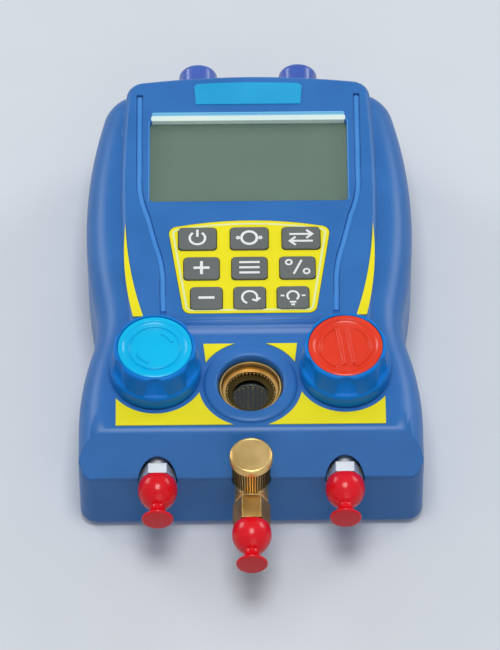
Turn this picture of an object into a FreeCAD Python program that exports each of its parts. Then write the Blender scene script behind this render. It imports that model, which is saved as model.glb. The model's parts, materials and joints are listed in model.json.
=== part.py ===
"""Digital two-valve refrigerant manifold gauge, lying on its flat back.

Frame: +Z out of the display face, +Y towards the probe sockets, -Y towards the hose ports.
The origin is under the middle of the whole, on the flat back. All sizes are in millimetres.
"""
import FreeCAD, Part
import os
import re
import Sketcher
from FreeCAD import Vector

SIZES = {
    # Plan outline of the case, right half, measured from the middle
    "case_top": 99.7,
    "case_bottom": -76.7,
    "case_half_width": 63.5,
    "top_arch_radius": 324.0,
    "corner_in_x": 42.8,
    "corner_drop": 2.84,
    "corner_radius": 15.0,
    "shoulder_x": 55.1,
    "shoulder_drop": 13.8,
    "side_radius": 206.0,
    "waist_x": 58.0,
    "waist_y": -2.7,
    "waist_radius": 48.3,
    "flare_x": 59.3,
    "flare_y": -25.7,
    "flare_radius": 120.0,
    "foot_y": -59.7,
    "foot_radius": 6.0,
    # Case heights, walls and edges
    "face_height": 47.5,
    "step_height": 3.0,
    "parting_height": 30.0,
    "wall": 2.5,
    "edge_round": 11.0,
    "back_round": 4.0,
    "room_gap": 1.0,
    "shoulder_ceiling": 33.0,
    "bevel_rise": 13.0,
    "bevel_run": 12.5,
    "shell_gap": 0.1,
    # Raised field with the display and the keys
    "brow_inset": 0.8,
    "field_corner_x": 40.0,
    "field_corner_radius": 7.0,
    "field_top_x": 46.4,
    "field_widest_x": 48.0,
    "field_widest_y": 26.3,
    "field_foot_x": 44.8,
    "field_end": -14.7,
    "ramp_run": 7.0,
    "field_round": 2.6,
    "groove_width": 2.4,
    "groove_depth": 1.6,
    "groove_top_x": 41.3,
    "groove_top": 89.3,
    "groove_bend": 50.3,
    "groove_mid_x": 38.4,
    "groove_mid_y": 32.3,
    "groove_low_x": 35.2,
    "groove_low_y": 18.3,
    "groove_foot_x": 32.4,
    "groove_foot_y": -1.7,
    "groove_upper_arc": 45.0,
    "groove_lower_arc": 60.0,
    # Display
    "window_half_width": 37.4,
    "window_low": 38.2,
    "window_high": 76.8,
    "window_radius": 1.6,
    "window_recess": 2.0,
    "window_thickness": 1.5,
    "ledge_width": 1.8,
    "glass_thickness": 1.6,
    "glass_margin": 0.6,
    # Bare name panel
    "label_half_width": 20.5,
    "label_low": 84.3,
    "label_high": 94.7,
    "film_thickness": 0.4,
    # Keypad
    "keypad_top": 28.9,
    "keypad_shoulder": 26.2,
    "keypad_low": -13.9,
    "keypad_half_top": 30.0,
    "keypad_half_low": 25.0,
    "keypad_radius": 3.2,
    "keypad_arch": 138.0,
    "keypad_thickness": 1.2,
    "key_row_pitch": 13.8,
    "key_middle_y": 6.5,
    "key_height": 10.3,
    "key_width_top": 14.2,
    "key_width_middle": 13.2,
    "key_width_low": 11.8,
    "key_spread_top": 19.4,
    "key_spread_middle": 17.9,
    "key_spread_low": 16.1,
    "key_radius": 1.6,
    "key_proud": 0.9,
    "key_travel": 0.8,
    "key_flange": 0.8,
    "key_flange_thickness": 1.2,
    "key_plunger_inset": 2.2,
    "key_gap": 0.25,
    "keypad_web": 2.3,
    "mat_thickness": 0.6,
    # Circuit board
    "board_top": 38.0,
    "board_thickness": 1.6,
    "board_half_width": 43.0,
    "board_low": -14.7,
    "board_high": 86.3,
    "board_screw_x": 39.5,
    "board_screw_inset": 3.5,
    "contact_thickness": 0.3,
    "contact_radius": 2.4,
    # Valve block
    "block_half_width": 46.0,
    "block_front": -61.7,
    "block_back": -26.7,
    "block_low": 14.0,
    "block_high": 41.0,
    "gallery_height": 20.0,
    "gallery_radius": 2.5,
    "block_screw_x": 20.0,
    "block_screw_radius": 1.5,
    "block_screw_head": 3.0,
    "block_screw_gap": 0.4,
    "rest_inset": 3.0,
    "rest_width": 2.5,
    # Valves and knobs
    "knob_x": 35.0,
    "knob_y": -38.7,
    "seat_height": 24.5,
    "seat_radius": 2.6,
    "piston_radius": 5.0,
    "piston_low": 32.4,
    "piston_head": 2.4,
    "needle_radius": 3.4,
    "bonnet_thread_radius": 7.0,
    "bonnet_flats": 16.0,
    "bonnet_neck_radius": 6.2,
    "bonnet_top": 50.0,
    "stem_radius": 3.0,
    "seal_width": 1.6,
    "seal_depth": 2.2,
    "seal_height": 1.5,
    "drive_radius": 2.4,
    "drive_length": 5.2,
    "running_gap": 0.05,
    "valve_lift": 2.5,
    "lift_room": 0.3,
    "knob_radius": 16.8,
    "knob_top_radius": 15.3,
    "knob_height": 16.0,
    "knob_clearance": 0.6,
    "knob_ledge": 6.6,
    "knob_hollow_radius": 13.8,
    "knob_hollow_height": 6.0,
    "knob_edge": 1.2,
    "scallop_count": 6,
    "scallop_radius": 6.5,
    "scallop_reach": 14.4,
    "insert_radius": 13.7,
    "insert_thickness": 1.6,
    "insert_gap": 0.1,
    # Sight glass
    "sight_y": -44.2,
    "sight_outer_radius": 11.85,
    "sight_hole_gap": 0.35,
    "sight_inner_radius": 9.3,
    "sight_retainer_radius": 8.5,
    "sight_retainer_height": 0.9,
    "sight_top": 43.0,
    "sight_shelf": 33.0,
    "sight_glass_radius": 10.4,
    "sight_glass_thickness": 2.4,
    "sight_seal_height": 1.2,
    "sight_chamber_radius": 7.0,
    # Hose ports along -Y
    "port_x": 34.4,
    "port_notch_radius": 7.2,
    "port_thread_radius": 5.5,
    "port_thread_length": 10.0,
    "tee_thread_length": 5.0,
    "port_neck_radius": 4.8,
    "port_hex_flats": 11.6,
    "port_hex_start": -73.0,
    "port_hex_length": 4.2,
    "flare_tip_radius": 5.45,
    "flare_length": 9.6,
    "flare_bore_radius": 2.4,
    # Centre tee
    "tee_y": -81.7,
    "tee_radius": 6.2,
    "branch_radius": 5.4,
    "branch_bore_radius": 1.6,
    "tee_hex_start": -87.9,
    "tee_hex_length": 9.2,
    "tee_hex_flats": 12.0,
    # Port caps
    "cap_radius": 7.3,
    "cap_arc": 8.7,
    "cap_widest": 3.7,
    "cap_bulb_length": 9.3,
    "cap_neck_length": 1.9,
    "cap_foot_radius": 6.8,
    "cap_foot_length": 4.3,
    "cap_foot_round": 0.9,
    "cap_gap": 0.3,
    "service_cap_radius": 7.8,
    "service_cap_low_radius": 6.9,
    "service_cap_low": 39.0,
    "service_cap_top": 50.2,
    "service_cap_edge": 0.9,
    "service_cap_rim": 3.2,
    # Temperature probe sockets at the top end
    "socket_x": 19.2,
    "socket_height": 30.0,
    "socket_radius": 7.5,
    "socket_end": 112.9,
    "socket_bore_radius": 4.75,
    "socket_bore_length": 8.0,
    "socket_flange_radius": 9.2,
    "socket_flange": 1.6,
    "socket_round": 2.4,
    "pin_radius": 0.6,
    "pin_circle": 2.4,
    "pin_length": 5.0,
    # Pressure sensors behind the block
    "sensor_radius": 6.0,
    "sensor_length": 13.0,
    "sensor_height": 26.0,
    "sensor_x": 17.0,
    # Screws
    "case_screw_radius": 1.5,
    "case_screw_head": 2.8,
    "case_screw_depth": 3.0,
    "column_radius": 4.0,
    "screw_x_top": 49.8,
    "screw_y_top": 72.3,
    "screw_x_middle": 51.0,
    "screw_y_middle": 2.3,
    "screw_x_low": 55.0,
    "screw_y_low": -67.7,
    "case_screw_length": 33.0,
    # Battery bay in the back
    "bay_half_width": 30.6,
    "bay_low": 9.3,
    "bay_high": 67.3,
    "bay_depth": 19.0,
    "bay_wall": 1.8,
    "cover_lip": 2.0,
    "cover_setback": 0.3,
    "cover_thickness": 2.0,
    "cover_gap": 0.3,
    "cell_radius": 7.1,
    "cell_length": 49.5,
    "cell_pitch": 14.8,
    "nub_radius": 2.7,
    "nub_length": 1.0,
    # Hanging hook in the back
    "hook_half_width": 13.0,
    "hook_wire_radius": 1.7,
    "hook_pivot_y": 93.3,
    "hook_reach": 17.0,
    "hook_height": 3.0,
    "hook_pin_radius": 1.0,
    "hook_pocket_gap": 0.8,
}

# Places and sizes that follow from the ones above
WORKED_OUT = {
    "deck_height": "face_height - step_height",
    "deck_under": "deck_height - wall",
    "field_top": "case_top - brow_inset",
    "ledge_height": "face_height - window_recess - window_thickness",
    "keypad_floor": "face_height - keypad_thickness",
    "keypad_under": "keypad_floor - keypad_web",
    "board_under": "board_top - board_thickness",
    "knob_base": "deck_height + knob_clearance",
    "knob_top": "knob_base + knob_height",
    "insert_floor": "knob_top - insert_thickness",
    "knob_ceiling": "knob_base + knob_hollow_height",
    "stem_shoulder": "knob_ceiling",
    "stem_top": "stem_shoulder + drive_length",
    "stem_low": "piston_low - 1",
    "bonnet_low": "piston_low + piston_head + valve_lift + lift_room",
    "sight_hole_radius": "sight_outer_radius + sight_hole_gap",
    "block_screw_y": "block_front + rest_inset + rest_width + block_screw_head + block_screw_gap",
    "flare_start": "port_hex_start - port_hex_length",
    "flare_end": "flare_start - flare_length",
    "tee_flare_start": "tee_hex_start - tee_hex_length",
    "tee_flare_end": "tee_flare_start - flare_length",
    "cap_rim_radius": "cap_radius - cap_arc + sqrt(cap_arc^2 - cap_widest^2)",
    "cap_neck_radius": "cap_radius - cap_arc + sqrt(cap_arc^2 - (cap_bulb_length - cap_widest)^2)",
    "cap_neck_end": "-cap_gap - cap_bulb_length",
    "cap_foot_start": "cap_neck_end - cap_neck_length",
    "cap_end": "cap_foot_start - cap_foot_length",
    "cap_mouth_radius": "flare_tip_radius + cap_gap",
    "service_mouth_radius": "flare_tip_radius - 0.5 + cap_gap",
    "service_tip": "service_cap_top - 2.6",
    "screw_tip": "case_screw_depth + case_screw_length",
    "cell_height": "bay_depth - cell_radius - 0.6",
    "bay_middle": "(bay_low + bay_high) / 2",
    "cover_low": "bay_low - cover_lip + cover_gap",
    "cover_high": "bay_high + cover_lip - cover_gap",
    "cover_top": "cover_setback + cover_thickness",
    "hook_end": "hook_pivot_y - hook_reach",
    "hook_ceiling": "hook_height + hook_wire_radius + 1.2",
    "socket_seat": "case_top - wall - 0.9",
    "knob_to_sight": "sqrt((knob_x)^2 + (knob_y - sight_y)^2)",
    "trim_radius": "knob_radius + 1.7",
    "trim_sight_radius": "sight_outer_radius + 7.35",
    "trim_along": "(trim_radius^2 - trim_sight_radius^2 + knob_to_sight^2) / (2 * knob_to_sight)",
    "trim_across": "sqrt(trim_radius^2 - trim_along^2)",
    "trim_lean": "(knob_y - sight_y) / knob_to_sight",
    "trim_level": "knob_x / knob_to_sight",
    "peak_x": "knob_x - trim_along * trim_level + trim_across * trim_lean",
    "peak_y": "knob_y - trim_along * trim_lean - trim_across * trim_level",
    "trim_foot": "case_bottom + bevel_run + 1.9",
    "trim_foot_in": "sqrt(trim_sight_radius^2 - (sight_y - trim_foot)^2)",
    "trim_side": "knob_x + trim_radius * cos(38)",
    "trim_side_y": "knob_y - trim_radius * sin(38)",
    "ramp_end": "field_end - ramp_run",
    "upper_trim_top": "ramp_end - 4.2",
    "upper_trim_in": "sqrt(trim_sight_radius^2 - (upper_trim_top - sight_y)^2)",
    "upper_trim_tip_y": "sight_y + trim_sight_radius * sin(31)",
    "upper_trim_tip_x": "trim_sight_radius * cos(31)",
}

doc = FreeCAD.newDocument("manifold_gauge")
sheet = doc.addObject("Spreadsheet::Sheet", "Sizes")
for row, (name, size) in enumerate(SIZES.items(), start=1):
    sheet.set("A%d" % row, name)
    sheet.set("B%d" % row, str(size))
    sheet.setAlias("B%d" % row, name)
doc.recompute()

subparts = []
WORD = re.compile(r"[a-z][a-z_]*")
PLANES = {"floor": "XY_Plane", "front": "XZ_Plane", "side": "YZ_Plane"}


def formula(text):
    """A length in plain words, as an expression on the sheet's cells."""
    def put(match):
        word = match.group(0)
        if word in WORKED_OUT:
            return "(" + formula(WORKED_OUT[word]) + ")"
        return "Sizes." + word if word in SIZES else word
    return WORD.sub(put, str(text))


def value(text):
    """The present value of a length in plain words."""
    return float(sheet.evalExpression(formula(text)))


def set_place(thing, x="0", y="0", z="0"):
    """Puts a piece at a place that follows the sheet."""
    for axis, text in zip("xyz", (x, y, z)):
        thing.setExpression("Placement.Base." + axis, formula(text))


def keep(thing, label):
    """Names a sub-part and lists it for writing out."""
    thing.Label = label
    subparts.append(thing)
    return thing


def new_body(label, x="0", y="0", z="0"):
    """An empty body for one sub-part."""
    body = keep(doc.addObject("PartDesign::Body", "Body_" + label), label)
    set_place(body, x, y, z)
    return body


def negative(text):
    return "-(" + text + ")"


def both_sides(half):
    """A closed loop from its right half, listed from the top middle down."""
    loop = list(half)
    for number in range(len(half) - 1, -1, -1):
        bend = half[number - 1][2:] if number else ()
        if number or half[0][0] != "0":
            loop.append((negative(half[number][0]), half[number][1]) + bend)
    return loop


def mirrored(loop):
    """The same closed loop on the left side."""
    turned = []
    for number in range(len(loop) - 1, -1, -1):
        bend = loop[number - 1][2:]
        turned.append((negative(loop[number][0]), loop[number][1]) + bend)
    return turned


def rounded_box(x_low, x_high, y_low, y_high, radius):
    """A rectangle with round corners."""
    low_x, high_x = "%s + %s" % (x_low, radius), "%s - %s" % (x_high, radius)
    low_y, high_y = "%s + %s" % (y_low, radius), "%s - %s" % (y_high, radius)
    return [(high_x, y_low, radius), (x_high, low_y), (x_high, high_y, radius), (high_x, y_high),
            (low_x, y_high, radius), (x_low, high_y), (x_low, low_y, radius), (low_x, y_low)]


def sharp_box(x_low, x_high, y_low, y_high):
    return [(x_low, y_low), (x_high, y_low), (x_high, y_high), (x_low, y_high)]


def hexagon(flats, x="0", y="0"):
    """A hexagon by its width across flats, with two flats across the second axis."""
    reach = "(%s) / 2 / cos(30)" % flats
    return [("%s + %s * cos(%d)" % (x, reach, 60 * side), "%s + %s * sin(%d)" % (y, reach, 60 * side))
            for side in range(6)]


def arc_between(start, end, bend):
    """The short arc of this radius, with its centre on the left of the way when it is positive."""
    chord = end - start
    middle = (start + end) / 2
    rise = (bend * bend - chord.Length ** 2 / 4) ** 0.5
    left = Vector(-chord.y, chord.x, 0).normalize()
    centre = middle + left * (rise if bend > 0 else -rise)
    first, last = (start, end) if bend > 0 else (end, start)
    turn = [Vector(1, 0, 0).getAngle(point - centre) * (1 if point.y >= centre.y else -1)
            for point in (first, last)]
    if turn[1] < turn[0]:
        turn[1] += 2 * 3.141592653589793
    return Part.ArcOfCircle(Part.Circle(centre, Vector(0, 0, 1), abs(bend)), turn[0], turn[1])


def add_loop(sketch, loop):
    """Adds a closed loop whose corners and radii follow the sheet."""
    points = [Vector(value(node[0]), value(node[1]), 0) for node in loop]
    edges = []
    ends = []
    limits = []
    first_edge = sketch.GeometryCount
    for number, node in enumerate(loop):
        start, end = points[number], points[(number + 1) % len(loop)]
        edge = first_edge + number
        if len(node) == 3:
            bend = value(node[2])
            edges.append(arc_between(start, end, bend))
            ends.append((edge, 1, 2) if bend > 0 else (edge, 2, 1))
            limits.append((Sketcher.Constraint("Radius", edge, abs(bend)), "abs(%s)" % node[2]))
        else:
            edges.append(Part.LineSegment(start, end))
            ends.append((edge, 1, 2))
    for number, node in enumerate(loop):
        edge, first, last = ends[number]
        before = ends[number - 1]
        limits.append((Sketcher.Constraint("Coincident", before[0], before[2], edge, first), None))
        for kind, text, size in (("DistanceX", node[0], points[number].x),
                                 ("DistanceY", node[1], points[number].y)):
            limits.append((Sketcher.Constraint(kind, -1, 1, edge, first, size), text))
    sketch.addGeometry(edges, False)
    bind(sketch, limits)


def bind(sketch, limits):
    """Adds constraints at once and ties each to its words."""
    first = sketch.ConstraintCount
    sketch.addConstraint([limit for limit, _ in limits])
    for number, (_, text) in enumerate(limits, start=first):
        if text is not None:
            sketch.setExpression("Constraints[%d]" % number, formula(text))


def add_circle(sketch, x, y, radius):
    centre = Vector(value(x), value(y), 0)
    edge = sketch.addGeometry(Part.Circle(centre, Vector(0, 0, 1), value(radius)), False)
    bind(sketch, [(Sketcher.Constraint("DistanceX", -1, 1, edge, 3, centre.x), x),
                  (Sketcher.Constraint("DistanceY", -1, 1, edge, 3, centre.y), y),
                  (Sketcher.Constraint("Radius", edge, value(radius)), radius)])


def draw(body, plane, level, loops):
    """A sketch on one of the body's own planes. A loop of one triple is a circle."""
    sketch = body.newObject("Sketcher::SketchObject", "Sketch")
    origin = [item for item in body.Origin.OriginFeatures if item.Role == PLANES[plane]][0]
    sketch.AttachmentSupport = (origin, [""])
    sketch.MapMode = "FlatFace"
    sketch.setExpression("AttachmentOffset.Base.z", formula(level))
    for loop in loops:
        if len(loop) == 1:
            add_circle(sketch, *loop[0])
        else:
            add_loop(sketch, loop)
    return sketch


def extrude(body, kind, plane, loops, low, high):
    level = negative(high) if plane == "front" else low
    sketch = draw(body, plane, level, loops)
    feature = body.newObject("PartDesign::" + kind, kind)
    feature.Profile = sketch
    feature.Reversed = kind == "Pocket"
    feature.setExpression("Length", formula("(%s) - (%s)" % (high, low)))
    doc.recompute()
    return feature


def add(body, plane, loops, low, high):
    """Adds material between two levels along the plane's axis."""
    return extrude(body, "Pad", plane, loops, low, high)


def cut(body, plane, loops, low, high):
    """Removes material between two levels along the plane's axis."""
    before = body.Shape.Volume
    feature = extrude(body, "Pocket", plane, loops, low, high)
    if not body.Shape.Volume < before:
        raise RuntimeError(body.Label + ": a cut removes nothing")
    return feature


def spin(body, kind, plane, loop):
    """Turns a profile about the sketch's upright axis: radius first, then the place along it."""
    sketch = draw(body, plane, "0", [loop])
    feature = body.newObject("PartDesign::" + kind, kind)
    feature.Profile = sketch
    feature.ReferenceAxis = (sketch, ["V_Axis"])
    feature.Angle = 360
    doc.recompute()
    return feature


def turned(label, plane, loop, x="0", y="0", z="0"):
    """A round piece in a body of its own."""
    body = new_body(label, x, y, z)
    spin(body, "Revolution", plane, loop)
    return body


def round_edges(body, radius, wanted):
    """Rounds the edges of the body that the test picks."""
    names = ["Edge%d" % number for number, edge in enumerate(body.Shape.Edges, start=1) if wanted(edge)]
    last = body.Tip
    fillet = body.newObject("PartDesign::Fillet", "Fillet")
    fillet.Base = (last, names)
    fillet.setExpression("Radius", formula(radius))
    doc.recompute()
    return fillet


def at_height(edge, height):
    box = edge.BoundBox
    return abs(box.ZMin - height) < 1e-4 and abs(box.ZMax - height) < 1e-4


def group(label, pieces):
    """Separate like solids that share one sub-part."""
    compound = doc.addObject("Part::Compound", "Group_" + label)
    compound.Links = pieces
    return keep(compound, label)


def cylinder(radius, height, x, y, z, axis=Vector(0, 0, 1)):
    """A plain round bar from a place along an axis."""
    bar = doc.addObject("Part::Cylinder", "Bar")
    bar.setExpression("Radius", formula(radius))
    bar.setExpression("Height", formula(height))
    bar.Placement = FreeCAD.Placement(Vector(), FreeCAD.Rotation(Vector(0, 0, 1), axis))
    set_place(bar, x, y, z)
    return bar


def box(x_size, y_size, z_size, x, y, z):
    """A plain block from its lowest corner."""
    block = doc.addObject("Part::Box", "Block")
    block.setExpression("Length", formula(x_size))
    block.setExpression("Width", formula(y_size))
    block.setExpression("Height", formula(z_size))
    set_place(block, x, y, z)
    return block


def fuse(first, *others):
    """Joins solids into one."""
    joined = doc.addObject("Part::MultiFuse", "Fuse")
    joined.Shapes = [first, *others]
    return joined


def subtract(base, tool):
    """Takes one solid out of another."""
    rest = doc.addObject("Part::Cut", "Cut")
    rest.Base = base
    rest.Tool = tool
    return rest


def case_outline(inset):
    """Plan outline of the case, brought in by an inset, with square feet."""
    return both_sides([
        ("0", "case_top - " + inset, "-(top_arch_radius - %s)" % inset),
        ("corner_in_x", "case_top - corner_drop - " + inset, "-(corner_radius - %s)" % inset),
        ("shoulder_x - " + inset, "case_top - shoulder_drop", "-(side_radius - %s)" % inset),
        ("waist_x - " + inset, "waist_y", "waist_radius + " + inset),
        ("flare_x - " + inset, "flare_y", "-(flare_radius - %s)" % inset),
        ("case_half_width - " + inset, "foot_y"),
        ("case_half_width - " + inset, "case_bottom + " + inset),
    ])


def round_feet(body, low, high):
    """Rounds the two upright corners at the port end, in plan."""
    corner = [("case_half_width", "case_bottom + foot_radius"),
              ("case_half_width + 1", "case_bottom + foot_radius"),
              ("case_half_width + 1", "case_bottom - 1"),
              ("case_half_width - foot_radius", "case_bottom - 1"),
              ("case_half_width - foot_radius", "case_bottom", "foot_radius")]
    cut(body, "floor", [corner, mirrored(corner)], low, high)


def case_screw_places():
    """The six screw axes, right side first."""
    places = []
    for level in ("top", "middle", "low"):
        for side in ("screw_x_" + level, "-screw_x_" + level):
            places.append((side, "screw_y_" + level))
    return places


def board_screw_places():
    return [(side + "board_screw_x", y) for side in ("", "-")
            for y in ("board_high - board_screw_inset", "board_low + board_screw_inset")]


def key_rows():
    """Each key's name, middle and width, row by row from the display down."""
    rows = [("top", "key_middle_y + key_row_pitch", ("power", "zero", "units")),
            ("middle", "key_middle_y", ("plus", "mode", "scale")),
            ("low", "key_middle_y - key_row_pitch", ("minus", "vacuum", "lamp"))]
    keys = []
    for level, y, names in rows:
        for side, name in zip(("-key_spread_" + level, "0", "key_spread_" + level), names):
            keys.append((name, side, y, "key_width_" + level))
    return keys


def key_outline(x, y, width, margin):
    """One key's outline, with a margin all round."""
    return rounded_box("%s - %s / 2 - (%s)" % (x, width, margin), "%s + %s / 2 + (%s)" % (x, width, margin),
                       "%s - key_height / 2 - (%s)" % (y, margin), "%s + key_height / 2 + (%s)" % (y, margin),
                       "key_radius")


def keypad_outline(margin):
    """The keypad panel's outline, wider at its arched top."""
    return both_sides([
        ("0", "keypad_top + " + margin, "-keypad_arch"),
        ("keypad_half_top - 2.8", "keypad_shoulder + " + margin, "-keypad_radius"),
        ("keypad_half_top + " + margin, "keypad_shoulder - 3.6"),
        ("keypad_half_low + " + margin, "keypad_low + 2.6", "-keypad_radius"),
        ("keypad_half_low - 3.2", "keypad_low - " + margin),
    ])


def panel_groove():
    """The S-shaped groove on the right of the display and the keys."""
    route = [("groove_top_x", "groove_top"),
             ("groove_top_x", "groove_bend", "-groove_upper_arc"),
             ("groove_mid_x", "groove_mid_y"),
             ("groove_low_x", "groove_low_y", "groove_lower_arc"),
             ("groove_foot_x", "groove_foot_y"),
             ("groove_foot_x - 0.3", "ramp_end")]
    loop = [(x + " + groove_width / 2", y, *bend) for x, y, *bend in route]
    for number in range(len(route) - 1, -1, -1):
        x, y = route[number][:2]
        bend = [negative(radius) for radius in route[number - 1][2:]] if number else []
        loop.append((x + " - groove_width / 2", y, *bend))
    return loop


def open_port_wall(body, end):
    """Round openings at the joint between the shells, for the two side ports and the tee."""
    notches = [[(x, "parting_height", "port_notch_radius")] for x in ("port_x", "-port_x", "0")]
    cut(body, "front", notches, "case_bottom - 1", end)


def seat_sockets(body):
    """Openings for the probe sockets, with the slots that hold their flanges."""
    sides = ("socket_x", "-socket_x")
    cut(body, "front", [[(x, "socket_height", "socket_radius + shell_gap")] for x in sides],
        "socket_seat - socket_flange - 1.2", "case_top + 1")
    cut(body, "front", [[(x, "socket_height", "socket_flange_radius + shell_gap")] for x in sides],
        "socket_seat - socket_flange - shell_gap", "socket_seat + shell_gap")


def make_front_case():
    """The moulded front shell: rounded shoulders, low deck, bevel and raised field."""
    body = new_body("front_case")
    add(body, "floor", [case_outline("0")], "parting_height", "deck_height")
    deck = value("deck_height")
    round_edges(body, "edge_round",
                lambda edge: at_height(edge, deck) and edge.BoundBox.YMax > value("case_bottom") + 1)
    field = both_sides([
        ("0", "field_top", "-(top_arch_radius - brow_inset)"),
        ("field_corner_x", "field_top - 2.6", "-field_corner_radius"),
        ("field_top_x", "field_top - 9", "-500"),
        ("field_widest_x", "field_widest_y"),
        ("field_foot_x", "ramp_end"),
    ])
    add(body, "floor", [field], "parting_height + 1", "face_height")
    face = value("face_height")
    round_edges(body, "field_round",
                lambda edge: at_height(edge, face) and edge.BoundBox.YMax > value("field_end") - 5)
    ramp = [("ramp_end", "deck_height", "9"),
            ("(field_end + ramp_end) / 2", "deck_height + step_height / 2", "-9"),
            ("field_end", "face_height"),
            ("field_end", "face_height + 1"),
            ("ramp_end - 8", "face_height + 1"),
            ("ramp_end - 8", "deck_height")]
    cut(body, "side", [ramp], "-case_half_width", "case_half_width")
    bevel = [("case_bottom + bevel_run + 2.2", "deck_height", "4"),
             ("case_bottom + bevel_run - 1.7", "deck_height - 1.8"),
             ("case_bottom", "deck_height - bevel_rise"),
             ("case_bottom - 2", "deck_height - bevel_rise"),
             ("case_bottom - 2", "deck_height + 2"),
             ("case_bottom + bevel_run + 2.2", "deck_height + 2")]
    cut(body, "side", [bevel], "-case_half_width - 1", "case_half_width + 1")
    round_feet(body, "parting_height", "deck_height")
    cut(body, "floor", [case_outline("wall")], "parting_height", "shoulder_ceiling")
    block_room = sharp_box("-block_half_width - room_gap", "block_half_width + room_gap",
                           "case_bottom + bevel_run + wall", "block_back + 4")
    cut(body, "floor", [block_room], "parting_height", "deck_under")
    board_room = sharp_box("-board_half_width - room_gap", "board_half_width + room_gap",
                           "block_back", "board_high + room_gap")
    cut(body, "floor", [board_room], "parting_height", "deck_under")
    columns = [[(x, y, "column_radius")] for x, y in case_screw_places()]
    add(body, "floor", columns, "parting_height", "shoulder_ceiling + 0.5")
    pilots = [[(x, y, "case_screw_radius")] for x, y in case_screw_places()]
    cut(body, "floor", pilots, "parting_height", "screw_tip + 0.5")
    add(body, "floor", [[(x, y, "2.6")] for x, y in board_screw_places()], "board_top", "deck_under + 0.2")
    cut(body, "floor", [[(x, y, "1")] for x, y in board_screw_places()], "board_top", "deck_under - 1")
    block_bosses = ("block_screw_x", "-block_screw_x")
    add(body, "floor", [[(x, "block_screw_y", "4")] for x in block_bosses], "block_high + 0.05",
        "deck_under + 0.2")
    cut(body, "floor", [[(x, "block_screw_y", "block_screw_radius + 0.02")] for x in block_bosses],
        "block_high", "deck_height - 1")
    window = rounded_box("-window_half_width", "window_half_width", "window_low", "window_high",
                         "window_radius")
    cut(body, "floor", [window], "ledge_height", "face_height")
    opening = rounded_box("-window_half_width + ledge_width", "window_half_width - ledge_width",
                          "window_low + ledge_width", "window_high - ledge_width", "window_radius")
    cut(body, "floor", [opening], "deck_under", "ledge_height")
    cut(body, "floor", [keypad_outline("0.15")], "keypad_floor", "face_height")
    cut(body, "floor", [key_outline(x, y, width, "key_gap") for _, x, y, width in key_rows()],
        "keypad_under", "keypad_floor")
    flange_room = sharp_box("-key_spread_top - key_width_top / 2 - key_flange - 0.6",
                            "key_spread_top + key_width_top / 2 + key_flange + 0.6",
                            "key_middle_y - key_row_pitch - key_height / 2 - key_flange - 0.6",
                            "key_middle_y + key_row_pitch + key_height / 2 + key_flange + 0.6")
    cut(body, "floor", [flange_room], "deck_under", "keypad_under")
    groove = panel_groove()
    cut(body, "floor", [groove, mirrored(groove)], "face_height - groove_depth", "face_height")
    holes = [[("knob_x", "knob_y", "bonnet_flats / 2 / cos(30) + 0.6")],
             [("-knob_x", "knob_y", "bonnet_flats / 2 / cos(30) + 0.6")],
             [("0", "sight_y", "sight_hole_radius")]]
    cut(body, "floor", holes, "deck_under", "deck_height")
    open_port_wall(body, "case_bottom + bevel_run + wall")
    seat_sockets(body)


def make_rear_case():
    """The deep rear shell with its columns, battery bay, block rests and hook pocket."""
    body = new_body("rear_case")
    add(body, "floor", [case_outline("0")], "0", "parting_height - shell_gap")
    round_feet(body, "0", "parting_height")
    round_edges(body, "back_round", lambda edge: at_height(edge, 0.0))
    cut(body, "floor", [case_outline("wall")], "wall", "parting_height")
    columns = [[(x, y, "column_radius")] for x, y in case_screw_places()]
    add(body, "floor", columns, "wall / 2", "parting_height - shell_gap")
    bay_wall = sharp_box("-bay_half_width - bay_wall", "bay_half_width + bay_wall",
                         "bay_low - bay_wall", "bay_high + bay_wall")
    add(body, "floor", [bay_wall], "wall / 2", "bay_depth + bay_wall")
    rests = [sharp_box("-block_half_width + 2", "block_half_width - 2", start, start + " + rest_width")
             for start in ("block_front + rest_inset", "block_back - rest_inset - rest_width")]
    add(body, "floor", rests, "wall / 2", "block_low - 0.1")
    hook_room = sharp_box("-hook_half_width - wall * 1.6", "hook_half_width + wall * 1.6",
                          "hook_end - wall - hook_wire_radius - 1.2", "case_top - wall / 2")
    add(body, "floor", [hook_room], "wall / 2", "hook_ceiling + wall")
    heads = [[(x, y, "case_screw_head + 0.25")] for x, y in case_screw_places()]
    cut(body, "floor", heads, "0", "case_screw_depth")
    shanks = [[(x, y, "case_screw_radius + 0.2")] for x, y in case_screw_places()]
    cut(body, "floor", shanks, "case_screw_depth", "parting_height")
    bay = sharp_box("-bay_half_width", "bay_half_width", "bay_low", "bay_high")
    cut(body, "floor", [bay], "0", "bay_depth")
    mouth = sharp_box("-bay_half_width - cover_lip", "bay_half_width + cover_lip",
                      "bay_low - cover_lip", "bay_high + cover_lip")
    cut(body, "floor", [mouth], "0", "cover_top + 0.1")
    pocket = sharp_box("-hook_half_width - hook_pocket_gap", "hook_half_width + hook_pocket_gap",
                       "hook_end - hook_wire_radius - 1.2", "case_top + 1")
    cut(body, "floor", [pocket], "0", "hook_ceiling")
    pin_bore = [[("hook_pivot_y", "hook_height", "hook_pin_radius + running_gap")]]
    cut(body, "side", pin_bore, "-hook_half_width - wall", "hook_half_width + wall")
    open_port_wall(body, "case_bottom + wall + 1")
    seat_sockets(body)


def make_case_screws():
    """Six long screws from the back into the front shell."""
    screws = []
    for x, y in case_screw_places():
        head = cylinder("case_screw_head", "2", x, y, "case_screw_depth - 2")
        shank = cylinder("case_screw_radius - 0.02", "case_screw_length + 0.2", x, y,
                         "case_screw_depth - 0.2")
        screws.append(fuse(head, shank))
    group("case_screws", screws)


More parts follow.
